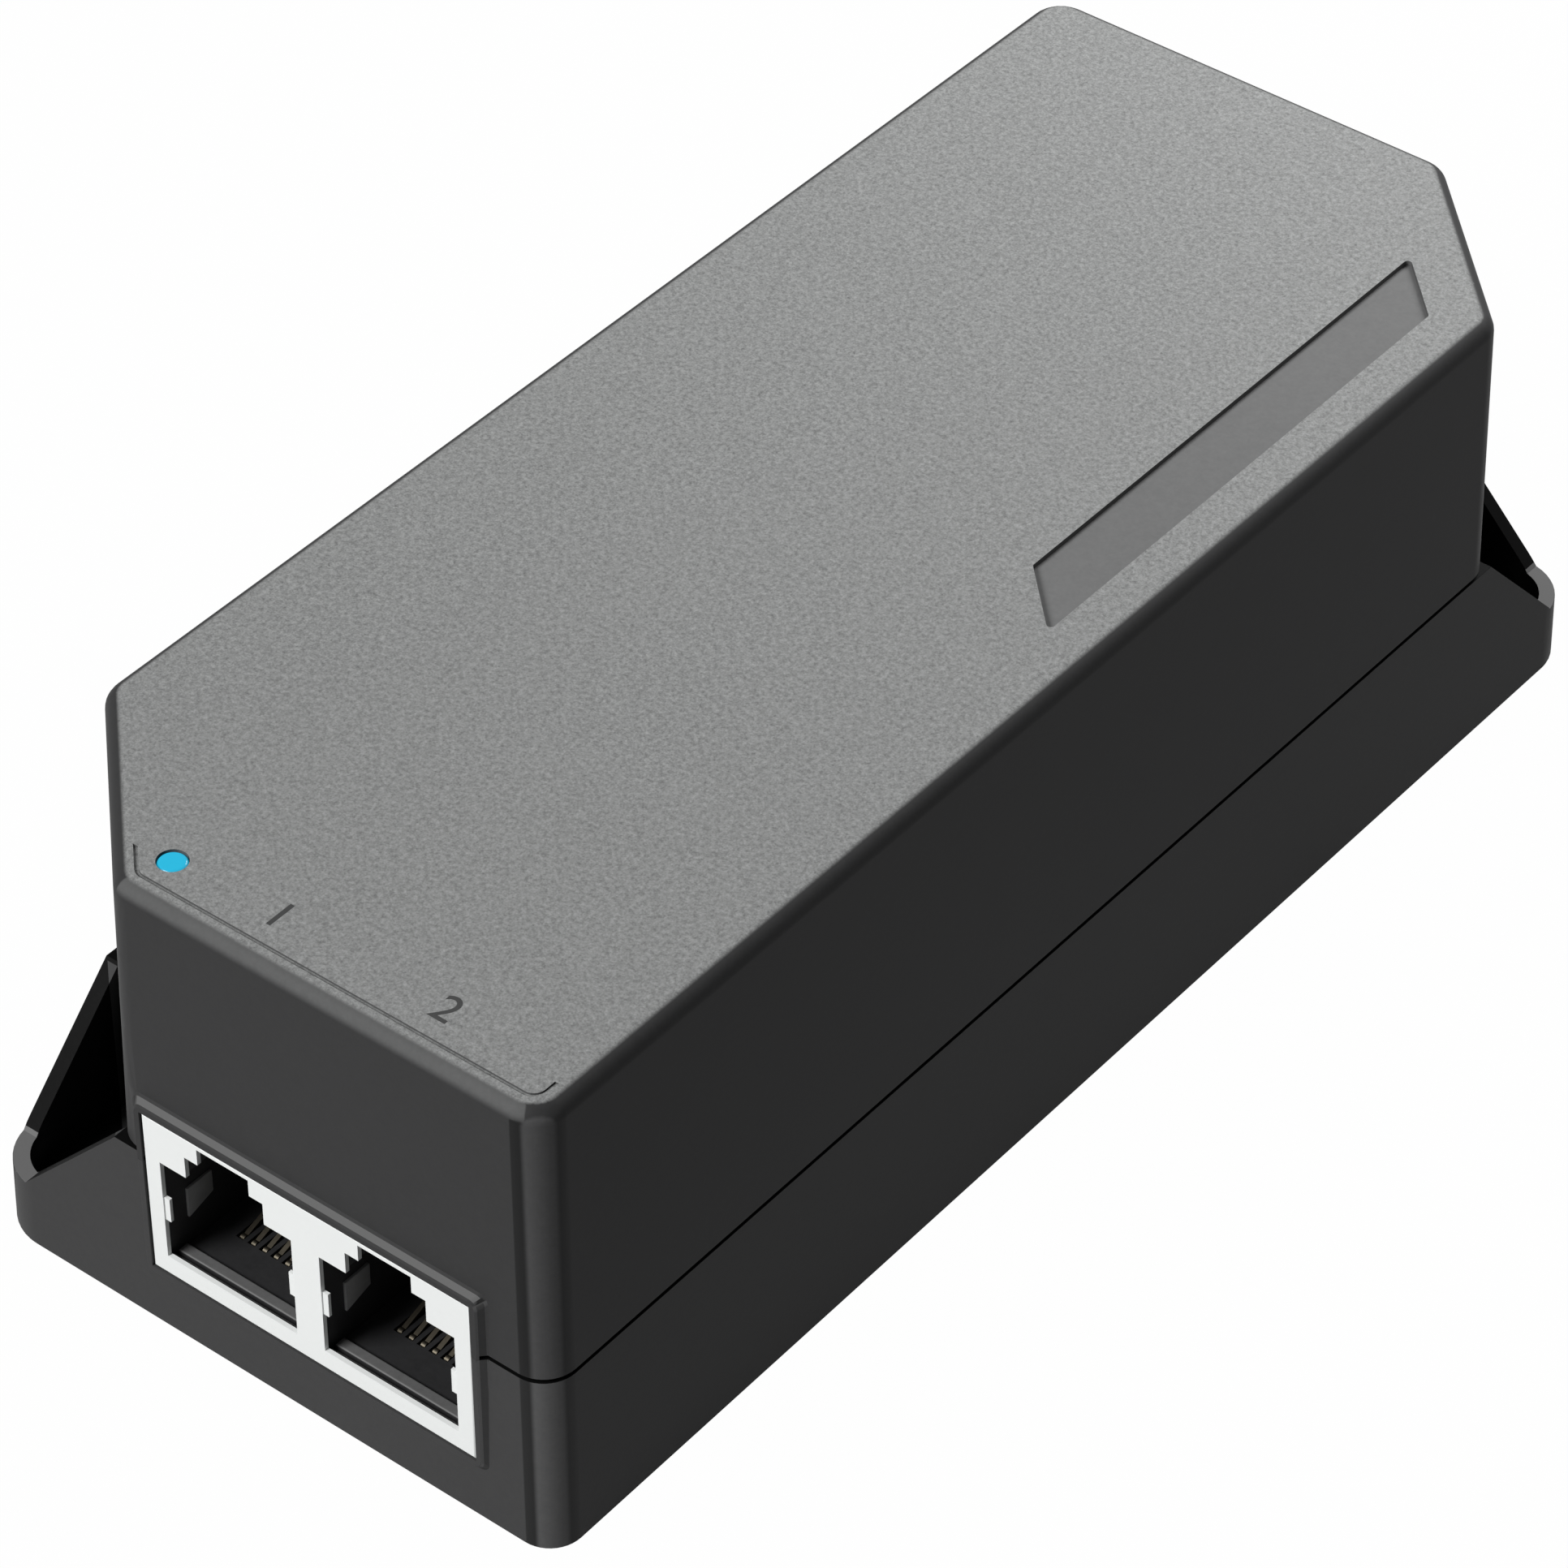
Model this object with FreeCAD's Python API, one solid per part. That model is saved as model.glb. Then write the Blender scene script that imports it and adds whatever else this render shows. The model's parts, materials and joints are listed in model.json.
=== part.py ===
import FreeCAD, Part
import math
import os

# A power-over-Ethernet injector: a two-part moulded case with two screw ears, two network
# sockets at one end, a mains inlet at the other, and the mains converter on one board inside.
# Millimetres. The origin is the centre of the underside, +Z is up, the network sockets look
# along -Y, the mains inlet looks along +Y, and the case is narrow along X.

# Case
top_width = 49.4            # across the flat top, along X
top_length = 118.5          # along Y
case_height = 38.6
side_draft = 0.018          # how far each wall leans out per millimetre down from the top
corner_cut = 13.9           # leg of the two sloping corners
upright_radius = 2.6        # rounding of the upright edges
top_edge_radius = 1.3       # rounding round the flat top
foot_edge = 0.4             # broken edge round the underside
least_radius = 0.3
parting_height = 15.4       # where the cover meets the base
wall = 2.0
base_floor = 2.0
roof = 2.2
groove_width = 0.35         # shadow line round the parting
groove_depth = 0.4
tongue_height = 1.5         # lip of the base that stands inside the cover
tongue_thickness = 0.8
tongue_clearance = 0.15
panel_line_gap = 0.1        # fine line in the top, behind the rounded front edge
panel_line_width = 0.3
panel_line_depth = 0.15
panel_line_reach = 3.5      # how far it turns along the sides

# Screw ears, in the space that the sloping corners leave
ear_radius = 4.5
ear_wall = 1.2
ear_floor = 2.2
ear_rim_height = 5.7
ear_rim_run = 3.8           # level part of the rim, measured from the ear's corner
ear_slope_stop = 1.0        # the slope ends this far short of the sloping corner
ear_hole_radius = 2.0
ear_hole_inset = 4.8        # from both outer faces

# Name plate recess on top, left bare
plate_width = 5.0
plate_length = 45.0
plate_depth = 0.4
plate_edge_gap = 4.1        # from the right edge of the flat top
plate_centre_y = 22.8

# Label recess underneath
label_width = 34.0
label_length = 60.0
label_thickness = 0.15
label_recess = 0.25
label_margin = 0.3

# Case screws
case_screw_end = 26.25      # from the end of the flat top
boss_wall_gap = 0.2         # between a boss and the lip of the base
boss_radius = 2.9
base_boss_top = 12.0
boss_gap = 0.1
case_screw_radius = 1.4
case_screw_length = 20.0
case_screw_head_radius = 2.6
case_screw_head_height = 1.3
thread_clearance = 0.02
screw_passage = 0.25        # radial room where a screw passes freely
head_clearance = 0.2
driver_slot = 0.5

# Circuit board
board_bottom = 3.4
board_thickness = 1.6
board_gap = 0.6             # from the case wall
board_notch_gap = 0.4       # round a boss
board_top = board_bottom + board_thickness
standoff_radius = 2.4
board_screw_radius = 0.95
board_screw_head_radius = 2.0
board_screw_head_height = 1.2
board_screw_reach = 4.0     # below the top of the board
front_screw_side = 3.7      # from the left side of the network sockets
front_screw_end = 13.0      # from the face of the network sockets
middle_screw = (-2.0, 19.5)
back_screw_x = 19.4
back_screw_end = 18.8       # from the face of the mains inlet
lead_end = 2.5              # height of the trimmed ends of the leads
sheet_thickness = 0.2
sheet_gap = 0.5

# Raised frame round a socket
frame_stand = 0.25          # frame's face beyond the foot of the end wall
frame_width = 0.45
frame_root = 1.0            # depth from the frame's face to its root, and its slope
frame_corner = 0.7
socket_clearance = 0.12
socket_recess = 0.1         # socket face behind the frame's face

# Network sockets
port_pitch = 13.97
ports_centre_x = 4.8
bezel_width = 28.24
bezel_height = 13.96
bezel_bottom = 5.8
bezel_thickness = 0.35
port_width = 11.55
port_height = 8.65
port_sill = 1.67            # from the bottom of the bezel to the opening
step_width = 6.87
step_height = 1.86
notch_width = 4.52
notch_height = 1.4
tab_reach = 0.5             # small steps in the sides of the opening
tab_setback = 0.1
tab_low = 3.35
tab_high = 5.4
jack_depth = 15.4           # from the bezel's face
jack_overhang = 0.6         # body above the bezel, behind the case wall
jack_gap = 0.15
sill_depth = 0.55           # front lip of the body, behind the bezel
sill_drop = 0.6             # its top below the opening
sill_floor = 0.5            # body left under the carrier's ledge
cavity_depth = 14.3
carrier_gap = 0.1
carrier_floor_drop = 0.5    # carrier's floor below the opening
ledge_depth = 0.9
ledge_drop = 0.2            # ledge's top below the opening
ledge_edge = 0.15
comb_start = 12.4
comb_height = 5.4
comb_slot_depth = 1.0
comb_cap = 1.0

# Contacts
contact_count = 8
contact_pitch = 1.016
contact_width = 0.35
contact_thickness = 0.3
contact_slot = 0.66
contact_pivot_depth = 5.0   # from the bezel's face
contact_pivot_drop = 0.85   # pivot below the opening
contact_eye_radius = 0.3
contact_length = 8.2
contact_rise = 18.0         # degrees
contact_slot_floor = 0.15   # slot below the eye
tail_width = 0.35
tail_gap = 0.1
tail_hole = 0.5

# Mains inlet
inlet_centre_x = -7.0
inlet_width = 27.4
inlet_bottom = 5.6
inlet_top = 25.0
inlet_depth = 21.0
inlet_opening_width = 24.4
inlet_opening_height = 16.4
inlet_opening_depth = 17.0
inlet_opening_cut = 4.0
inlet_opening_radius = 1.2
blade_width = 2.0
blade_height = 4.0
blade_start = 3.0
blade_end = 22.5
blade_spacing = 14.0
blade_offset = 2.0          # live and neutral below, earth above the centre
blade_leg_width = 1.0
blade_leg_depth = 0.8
leg_clearance = 0.2

# Status light
light_x = -9.2
light_y = -55.4
light_radius = 1.05
light_gap = 0.05
light_collar_radius = 1.6
light_collar_height = 0.8
light_foot_side = 2.7       # lamp from the left side of the network sockets
light_foot_end = 9.0        # lamp from the face of the network sockets
light_foot_width = 1.6
light_bar_bottom = 20.8
light_bar_top = 22.4
lamp_width = 2.0
lamp_depth = 1.6
lamp_height = 1.0
lamp_gap = 0.2

# Parts on the board. A place is (x, y), or x and the distance from one socket's face.
fuse_x = 11.6
fuse_end = 12.85
fuse_radius = 4.2
fuse_height = 7.6
varistor_x = 12.0
varistor_end = 20.05
varistor_radius = 5.0
varistor_thickness = 4.0
filter_capacitor_x = -6.0
filter_capacitor_end = 29.05
filter_capacitor_size = (17.0, 8.0, 13.5)
choke_x = 11.5
choke_end = 38.05
choke_inner = 4.2
choke_outer = 8.0
choke_depth = 5.0
choke_wire = 0.8
choke_gap = 0.05
choke_split = 20.0          # bare angle each side of the top and the bottom, degrees
bridge_x = -14.0
bridge_end = 38.05
bridge_size = (14.0, 3.8, 11.0)
mains_capacitor_place = (-12.5, 8.0)
mains_capacitor_radius = 9.0
mains_capacitor_height = 25.0
transformer_x = 10.0
transformer_y = 4.0
core_width = 23.0
core_depth = 11.0
core_height = 20.0
core_leg = 6.0
core_side = 3.3
core_yoke = 3.5
bobbin_wall = 0.7
bobbin_gap = 0.15
bobbin_base = 1.6
winding_build = 3.6
winding_gap = 0.1
winding_corner = 2.0
sink_thickness = 1.5
sink_inset = 1.0            # from the side of the board
sink_fold = 4.0
sink_head_room = 0.5        # above the device
switch_y = -15.0
switch_sink_length = 22.0
rectifier_y = -17.5
rectifier_sink_length = 17.0
package_thickness = 4.5
package_width = 10.0
package_height = 15.0
package_lift = 4.0
package_pitch = 2.54
safety_capacitor_place = (1.5, -15.0)
safety_capacitor_radius = 4.2
safety_capacitor_thickness = 3.6
disc_lift = 0.8
block_edge = 0.4
can_edge = 0.5
can_groove = 0.7
vent_width = 0.3
vent_depth = 0.2
chip_stand = 0.1
chip_leg = 0.8
lead_radius = 0.35
coupler_place = (-9.0, -16.5)
coupler_size = (4.6, 6.5, 3.5)
coupler_pins = 2            # on each side
coupler_pitch = 2.54
controller_place = (-9.0, -7.5)
controller_size = (4.9, 3.9, 1.6)
controller_pins = 4
controller_pitch = 1.27
output_capacitor_places = [(-5.0, -26.0), (6.0, -26.0)]
output_capacitor_radius = 5.0
output_capacitor_height = 20.0
drum_place = (12.6, -33.5)
drum_radius = 3.8
drum_height = 9.0
drum_flange = 1.2
port_controller_x = -13.0
port_controller_end = 21.6
port_controller_size = (7.5, 5.5, 1.8)
port_controller_pins = 5
port_controller_pitch = 1.27
line_transformer_x = 0.5
line_transformer_end = 21.5
line_transformer_size = (15.5, 7.6, 5.6)
line_transformer_pins = 8
line_transformer_pitch = 1.78

past = 1.0                  # a cutter runs past a face by this
flat = 0.01                 # an edge is level if it's within this

V = FreeCAD.Vector


def half_width(z):
    return top_width / 2 + side_draft * (case_height - z)


def half_length(z):
    return top_length / 2 + side_draft * (case_height - z)


frame_face_y = half_length(0) + frame_stand
jack_face_y = socket_recess - frame_face_y
inlet_face_y = frame_face_y - socket_recess
bezel_left = ports_centre_x - bezel_width / 2
bezel_top = bezel_bottom + bezel_height
port_floor = bezel_bottom + port_sill
port_centres = [ports_centre_x - port_pitch / 2, ports_centre_x + port_pitch / 2]
lip_top = parting_height + tongue_height
inner_roof = case_height - roof
case_screw_x = half_width(lip_top) - wall - boss_wall_gap - boss_radius
case_screw_y = top_length / 2 - case_screw_end
case_screws = [(sx * case_screw_x, sy * case_screw_y) for sx in (-1, 1) for sy in (-1, 1)]
board_screws = [(bezel_left - front_screw_side, jack_face_y + front_screw_end), middle_screw,
                (back_screw_x, inlet_face_y - back_screw_end)]
sink_x = half_width(board_top) - wall - board_gap - sink_inset
light_foot_x = bezel_left - light_foot_side
light_foot_y = jack_face_y + light_foot_end
contact_pivot_height = port_floor - contact_pivot_drop
contact_slot_bottom = contact_pivot_height - contact_eye_radius - contact_slot_floor
carrier_floor_top = port_floor - carrier_floor_drop


def depth_inside_wall(z):
    # From a socket's face to just behind the end wall, at height z.
    return inlet_face_y - half_length(z) + wall + jack_gap


def box(x0, x1, y0, y1, z0, z1):
    return Part.makeBox(x1 - x0, y1 - y0, z1 - z0, V(x0, y0, z0))


def centred_box(x, y, width, depth, z0, z1):
    return box(x - width / 2, x + width / 2, y - depth / 2, y + depth / 2, z0, z1)


def rod(x, y, z0, z1, radius):
    return Part.makeCylinder(radius, z1 - z0, V(x, y, z0), V(0, 0, 1))


def fuse(shapes):
    return shapes[0].multiFuse(shapes[1:]).removeSplitter()


def group(solids):
    return Part.makeCompound(solids)


def prism(points, direction):
    wire = Part.makePolygon(points + [points[0]])
    return Part.Face(wire).extrude(direction)


def edges_at_height(shape, z):
    return [e for e in shape.Edges if abs(e.BoundBox.ZMin - z) < flat and e.BoundBox.ZLength < flat]


def edges_at_y(shape, y):
    return [e for e in shape.Edges if abs(e.BoundBox.YMin - y) < flat and e.BoundBox.YLength < flat]


def rounded_wire(corners):
    # A closed outline through corners of (point, radius), each rounded by a tangent arc.
    count = len(corners)
    arcs = []
    for i in range(count):
        point, radius = corners[i]
        back = (corners[i - 1][0] - point).normalize()
        ahead = (corners[(i + 1) % count][0] - point).normalize()
        half_angle = back.getAngle(ahead) / 2
        run = radius / math.tan(half_angle)
        inward = (back + ahead).normalize()
        middle = point + inward * (radius / math.sin(half_angle) - radius)
        arcs.append((point + back * run, middle, point + ahead * run))
    edges = []
    for i in range(count):
        start, middle, end = arcs[i]
        edges.append(Part.Arc(start, middle, end).toShape())
        edges.append(Part.LineSegment(end, arcs[(i + 1) % count][0]).toShape())
    return Part.Wire(edges)


def case_outline(z, inset):
    # The case from above: a rectangle with two opposite corners cut at 45 degrees.
    x = half_width(z) - inset
    y = half_length(z) - inset
    leg = corner_cut - inset * (2 - math.sqrt(2))
    radius = max(upright_radius - inset, least_radius)
    points = [(leg - x, -y), (x, -y), (x, y - leg), (x - leg, y), (-x, y), (-x, leg - y)]
    return rounded_wire([(V(px, py, z), radius) for px, py in points])


def ear_outline(z, inset):
    # The same rectangle with its corners whole, as wide as the ears.
    x = half_width(z) - inset
    y = half_length(z) - inset
    plain = max(upright_radius - inset, least_radius)
    ear = max(ear_radius - inset, least_radius)
    points = [(-x, -y, ear), (x, -y, plain), (x, y, ear), (-x, y, plain)]
    return rounded_wire([(V(px, py, z), radius) for px, py, radius in points])


def block(outline, z0, z1, inset, lower_inset=None):
    low = inset if lower_inset is None else lower_inset
    return Part.makeLoft([outline(z0, low), outline(z1, inset)], True, True)


def ring(z0, z1, outer_inset, inner_inset):
    return block(case_outline, z0, z1, outer_inset).cut(block(case_outline, z0, z1, inner_inset))


# The two sockets in the end walls

def socket_places():
    # Left, right, bottom and top of each socket, and its side: -1 in front, 1 behind.
    inlet_left = inlet_centre_x - inlet_width / 2
    return [(bezel_left, bezel_left + bezel_width, bezel_bottom, bezel_top, -1),
            (inlet_left, inlet_left + inlet_width, inlet_bottom, inlet_top, 1)]


def frame_wire(x0, x1, z0, z1, y, margin):
    left = x0 - margin
    right = x1 + margin
    low = z0 - margin
    high = z1 + margin
    points = [(left, low), (right, low), (right, high), (left, high)]
    return rounded_wire([(V(px, y, pz), frame_corner) for px, pz in points])


def raised_frame(x0, x1, z0, z1, side):
    # Frame with sloping sides that stands out of the end wall round a socket.
    margin = frame_width + socket_clearance
    face = frame_wire(x0, x1, z0, z1, side * frame_face_y, margin)
    root = frame_wire(x0, x1, z0, z1, side * (frame_face_y - frame_root), margin + frame_root)
    return Part.makeLoft([root, face], True, True)


def frames_between(z0, z1):
    # Cut back to the outer part of the wall, so that the frames add nothing inside the case.
    reach = 2 * top_length
    slab = box(-reach, reach, -reach, reach, z0, z1)
    inside = block(case_outline, 0, case_height, wall / 2)
    return [raised_frame(*place).common(slab).cut(inside) for place in socket_places()]


def socket_window(x0, x1, z0, z1, side):
    gap = socket_clearance
    ends = [side * (frame_face_y + past), side * (half_length(0) - 2 * wall)]
    return box(x0 - gap, x1 + gap, min(ends), max(ends), z0 - gap, z1 + gap)


# Case

def half_turn(shape):
    turned = shape.copy()
    turned.rotate(V(0, 0, 0), V(0, 0, 1), 180)
    return turned


def front_ear():
    # The ear at -X -Y: outer walls that slope down from the sloping corner to a level rim.
    x = half_width(0)
    y = half_length(0)
    walls = block(ear_outline, foot_edge, parting_height, 0)
    walls = walls.cut(block(ear_outline, foot_edge, parting_height, ear_wall))
    outside = -ear_wall
    slope_end = corner_cut - ear_slope_stop
    wall_end = corner_cut + upright_radius
    side_line = [(outside, foot_edge), (outside, ear_rim_height), (ear_rim_run, ear_rim_height),
                 (slope_end, parting_height), (wall_end, parting_height), (wall_end, foot_edge)]
    run = V(0, ear_rim_run - outside, 0)
    front = prism([V(a - x, outside - y, z) for a, z in side_line], run)
    run = V(ear_rim_run - outside, 0, 0)
    side = prism([V(outside - x, a - y, z) for a, z in side_line], run)
    return walls.common(front.fuse(side))


def ear_holes():
    x = half_width(0) - ear_hole_inset
    y = half_length(0) - ear_hole_inset
    return [(-x, -y), (x, y)]


def case_screw_seat():
    return case_screw_head_height + head_clearance


def make_base_tray():
    foot = block(ear_outline, 0, foot_edge, 0, foot_edge)
    plate = block(ear_outline, foot_edge, ear_floor, 0)
    sides = block(case_outline, foot_edge, parting_height, 0)
    ear = front_ear()
    tray = fuse([plate, sides, foot, ear, half_turn(ear)] + frames_between(0, parting_height))
    tray = tray.cut(block(case_outline, base_floor, parting_height + past, wall))
    lip = ring(parting_height - wall, lip_top, wall - tongue_thickness, wall)
    bosses = [rod(x, y, base_floor / 2, base_boss_top, boss_radius) for x, y in case_screws]
    standoffs = [rod(x, y, base_floor / 2, board_bottom, standoff_radius) for x, y in board_screws]
    tray = fuse([tray, lip] + bosses + standoffs)
    holes = [socket_window(*place) for place in socket_places()]
    for x, y in case_screws:
        holes.append(rod(x, y, -past, base_boss_top + past, case_screw_radius + screw_passage))
        holes.append(rod(x, y, -past, case_screw_seat(), case_screw_head_radius + head_clearance))
    for x, y in board_screws:
        tip = board_top - board_screw_reach - head_clearance
        holes.append(rod(x, y, tip, board_bottom + past, board_screw_radius + thread_clearance))
    for x, y in ear_holes():
        holes.append(rod(x, y, -past, ear_floor + past, ear_hole_radius))
    holes.append(centred_box(0, 0, label_width, label_length, -past, label_recess))
    return tray.cut(holes)


def plate_recess():
    # Shallow name plate with ends at 45 degrees.
    right = top_width / 2 - plate_edge_gap
    left = right - plate_width
    low = plate_centre_y - (plate_length + plate_width) / 2
    high = low + plate_length
    points = [(left, low + plate_width), (right, low), (right, high), (left, high + plate_width)]
    z = case_height - plate_depth
    corners = [(V(x, y, z), least_radius) for x, y in points]
    return Part.Face(rounded_wire(corners)).extrude(V(0, 0, plate_depth + past))


def make_top_cover():
    shell = block(case_outline, parting_height, case_height, 0)
    shell = shell.makeFillet(top_edge_radius, edges_at_height(shell, case_height))
    shell = fuse([shell] + frames_between(parting_height, case_height))
    hollow = block(case_outline, parting_height - past, inner_roof, wall)
    lip_room = wall - tongue_thickness - tongue_clearance
    rebate = block(case_outline, parting_height - past, lip_top + tongue_clearance, lip_room)
    line_start = top_edge_radius + panel_line_gap
    panel_line = ring(case_height - panel_line_depth, case_height, line_start, line_start + panel_line_width)
    line_back = panel_line_reach - top_length / 2
    panel_line = panel_line.common(box(-top_width, top_width, -top_length, line_back, 0, case_height))
    groove = ring(parting_height, parting_height + groove_width, -groove_depth, groove_depth)
    shell = shell.cut([hollow, rebate, panel_line, groove, plate_recess()])
    boss_bottom = base_boss_top + boss_gap
    bosses = [rod(x, y, boss_bottom, inner_roof + roof / 2, boss_radius) for x, y in case_screws]
    shell = fuse([shell] + bosses)
    screw_top = case_screw_seat() + case_screw_length + head_clearance
    thread = case_screw_radius + thread_clearance
    holes = [rod(x, y, boss_bottom - past, screw_top, thread) for x, y in case_screws]
    holes.append(rod(light_x, light_y, inner_roof - past, case_height + past, light_radius + light_gap))
    holes += [socket_window(*place) for place in socket_places()]
    return shell.cut(holes)


def pan_screw(x, y, seat, up, length, radius, head_radius, head_height):
    # The head stands on the seat, towards up (1 or -1), and has a cross slot.
    head_end = seat + up * head_height
    tip = seat - up * length
    slot_end = head_end - up * head_height / 2
    shank = rod(x, y, min(seat, tip), max(seat, tip), radius)
    head = rod(x, y, min(seat, head_end), max(seat, head_end), head_radius)
    head = head.makeFillet(head_height / 3, edges_at_height(head, head_end))
    low = min(head_end, slot_end)
    high = max(head_end, slot_end)
    slots = [centred_box(x, y, head_radius, driver_slot, low, high),
             centred_box(x, y, driver_slot, head_radius, low, high)]
    return shank.fuse(head).cut(slots).removeSplitter()


def make_case_screws():
    return group([pan_screw(x, y, case_screw_seat(), -1, case_screw_length, case_screw_radius,
                            case_screw_head_radius, case_screw_head_height) for x, y in case_screws])


def make_board_screws():
    return group([pan_screw(x, y, board_top, 1, board_screw_reach, board_screw_radius,
                            board_screw_head_radius, board_screw_head_height) for x, y in board_screws])


def make_insulation_sheet():
    sheet = block(case_outline, base_floor, base_floor + sheet_thickness, wall + sheet_gap)
    holes = [rod(x, y, 0, board_bottom, boss_radius + sheet_gap) for x, y in case_screws]
    holes += [rod(x, y, 0, board_bottom, standoff_radius + sheet_gap) for x, y in board_screws]
    return sheet.cut(holes)


def make_blank_label():
    width = label_width - 2 * label_margin
    length = label_length - 2 * label_margin
    return centred_box(0, 0, width, length, label_recess - label_thickness, label_recess)


# Network sockets

def port_void(centre, y0, y1, grow):
    # The stepped opening of one socket, latch side up.
    top = port_floor + port_height + grow
    steps = [(port_width, port_floor, top), (step_width, port_floor, top + step_height),
             (notch_width, port_floor, top + step_height + notch_height)]
    return fuse([box(centre - width / 2 - grow, centre + width / 2 + grow, y0, y1, z0, z1)
                 for width, z0, z1 in steps])


def make_port_bezel():
    back = jack_face_y + bezel_thickness
    plate = box(bezel_left, bezel_left + bezel_width, jack_face_y, back, bezel_bottom, bezel_top)
    plate = plate.makeFillet(least_radius / 2, edges_at_y(plate, jack_face_y))
    plate = plate.cut([port_void(centre, jack_face_y - past, back + past, 0) for centre in port_centres])
    tabs = []
    for centre in port_centres:
        for side in (-1, 1):
            edge = centre + side * port_width / 2
            tabs.append(box(edge - tab_reach, edge + tab_reach, jack_face_y + tab_setback, back,
                            port_floor + tab_low, port_floor + tab_high))
    return fuse([plate] + tabs)


def make_jack_housing():
    # A narrow nose through the end wall and a wider body behind it, one cavity for each socket.
    right = bezel_left + bezel_width
    front = jack_face_y + bezel_thickness
    body_top = bezel_top + jack_overhang
    behind_wall = jack_face_y + depth_inside_wall(body_top)
    nose = box(bezel_left + jack_gap, right - jack_gap, front, behind_wall,
               bezel_bottom + jack_gap, bezel_top - jack_gap)
    body = box(bezel_left, right, behind_wall, jack_face_y + jack_depth, board_top, body_top)
    cavity_back = jack_face_y + cavity_depth
    voids = []
    for centre in port_centres:
        wide = port_width / 2 + jack_gap
        catch = step_width / 2 + jack_gap
        latch_top = port_floor + port_height + step_height + notch_height
        voids.append(port_void(centre, front - past, cavity_back, jack_gap))
        voids.append(box(centre - wide, centre + wide, front - past, cavity_back,
                         port_floor - sill_drop, port_floor + past))
        voids.append(box(centre - wide, centre + wide, front + sill_depth, cavity_back,
                         bezel_bottom + sill_floor, port_floor))
        voids.append(box(centre - wide, centre + wide, behind_wall, cavity_back,
                         board_top - past, port_floor))
        voids.append(box(centre - catch, centre + catch, behind_wall, cavity_back, port_floor, latch_top))
    return fuse([nose, body]).cut(voids)


def contact_places(centre):
    first = centre - contact_pitch * (contact_count - 1) / 2
    return [first + i * contact_pitch for i in range(contact_count)]


def pivot_y():
    return jack_face_y + contact_pivot_depth


def make_contact_carrier(centre):
    # A slotted floor under the contacts, with a ledge in front and a comb behind.
    half = port_width / 2 + jack_gap - carrier_gap
    left = centre - half
    right = centre + half
    ledge_front = jack_face_y + bezel_thickness + sill_depth + carrier_gap
    floor_front = jack_face_y + depth_inside_wall(bezel_top + jack_overhang) + carrier_gap
    back = jack_face_y + cavity_depth - carrier_gap
    neck_bottom = bezel_bottom + sill_floor + carrier_gap
    ledge_top = port_floor - ledge_drop
    floor = box(left, right, floor_front, back, board_top + carrier_gap, carrier_floor_top)
    neck = box(left, right, ledge_front, floor_front + past, neck_bottom, carrier_floor_top)
    ledge = box(left, right, ledge_front, ledge_front + ledge_depth, neck_bottom, ledge_top)
    ledge = ledge.makeFillet(ledge_edge, edges_at_height(ledge, ledge_top))
    comb = box(left, right, jack_face_y + comb_start, back, board_top + past, carrier_floor_top + comb_height)
    slot_front = pivot_y() - contact_eye_radius - contact_slot_floor
    slot_back = jack_face_y + comb_start + comb_slot_depth
    slot_top = carrier_floor_top + comb_height - comb_cap
    holes = []
    for x in contact_places(centre):
        side = contact_slot / 2
        holes.append(box(x - side, x + side, slot_front, slot_back, contact_slot_bottom, slot_top))
        holes.append(centred_box(x, pivot_y(), tail_hole, tail_hole, board_top, port_floor))
    return fuse([floor, neck, ledge, comb]).cut(holes)


def contact_wire(x):
    # A flat spring: a rolled eye in front and a straight leg that rises to the back.
    left = x - contact_width / 2
    pivot = V(left, pivot_y(), contact_pivot_height)
    eye = Part.makeCylinder(contact_eye_radius, contact_width, pivot, V(1, 0, 0))
    corner = pivot - V(0, 0, contact_thickness / 2)
    leg = Part.makeBox(contact_width, contact_length, contact_thickness, corner)
    leg.rotate(pivot, V(1, 0, 0), contact_rise)
    return fuse([eye, leg])


def make_contact_springs(centre):
    return group([contact_wire(x) for x in contact_places(centre)])


def make_contact_tails():
    top = contact_pivot_height - contact_eye_radius - tail_gap
    return group([centred_box(x, pivot_y(), tail_width, tail_width, lead_end, top)
                  for centre in port_centres for x in contact_places(centre)])


# Mains inlet

def blade_places():
    # Live and neutral below the middle of the inlet, earth above it.
    middle = (inlet_bottom + inlet_top) / 2
    half = blade_spacing / 2
    low = middle - blade_offset
    return [(inlet_centre_x - half, low),
            (inlet_centre_x + half, low),
            (inlet_centre_x, middle + blade_offset)]


def blade_leg_y():
    return inlet_face_y - blade_end + blade_leg_depth / 2


def inlet_void(y0, y1):
    middle = (inlet_bottom + inlet_top) / 2
    left = inlet_centre_x - inlet_opening_width / 2
    right = inlet_centre_x + inlet_opening_width / 2
    low = middle - inlet_opening_height / 2
    high = middle + inlet_opening_height / 2
    bevel = inlet_opening_cut
    points = [(left, low), (right, low), (right, high - bevel), (right - bevel, high),
              (left + bevel, high), (left, high - bevel)]
    corners = [(V(x, y0, z), inlet_opening_radius) for x, z in points]
    return Part.Face(rounded_wire(corners)).extrude(V(0, y1 - y0, 0))


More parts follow.
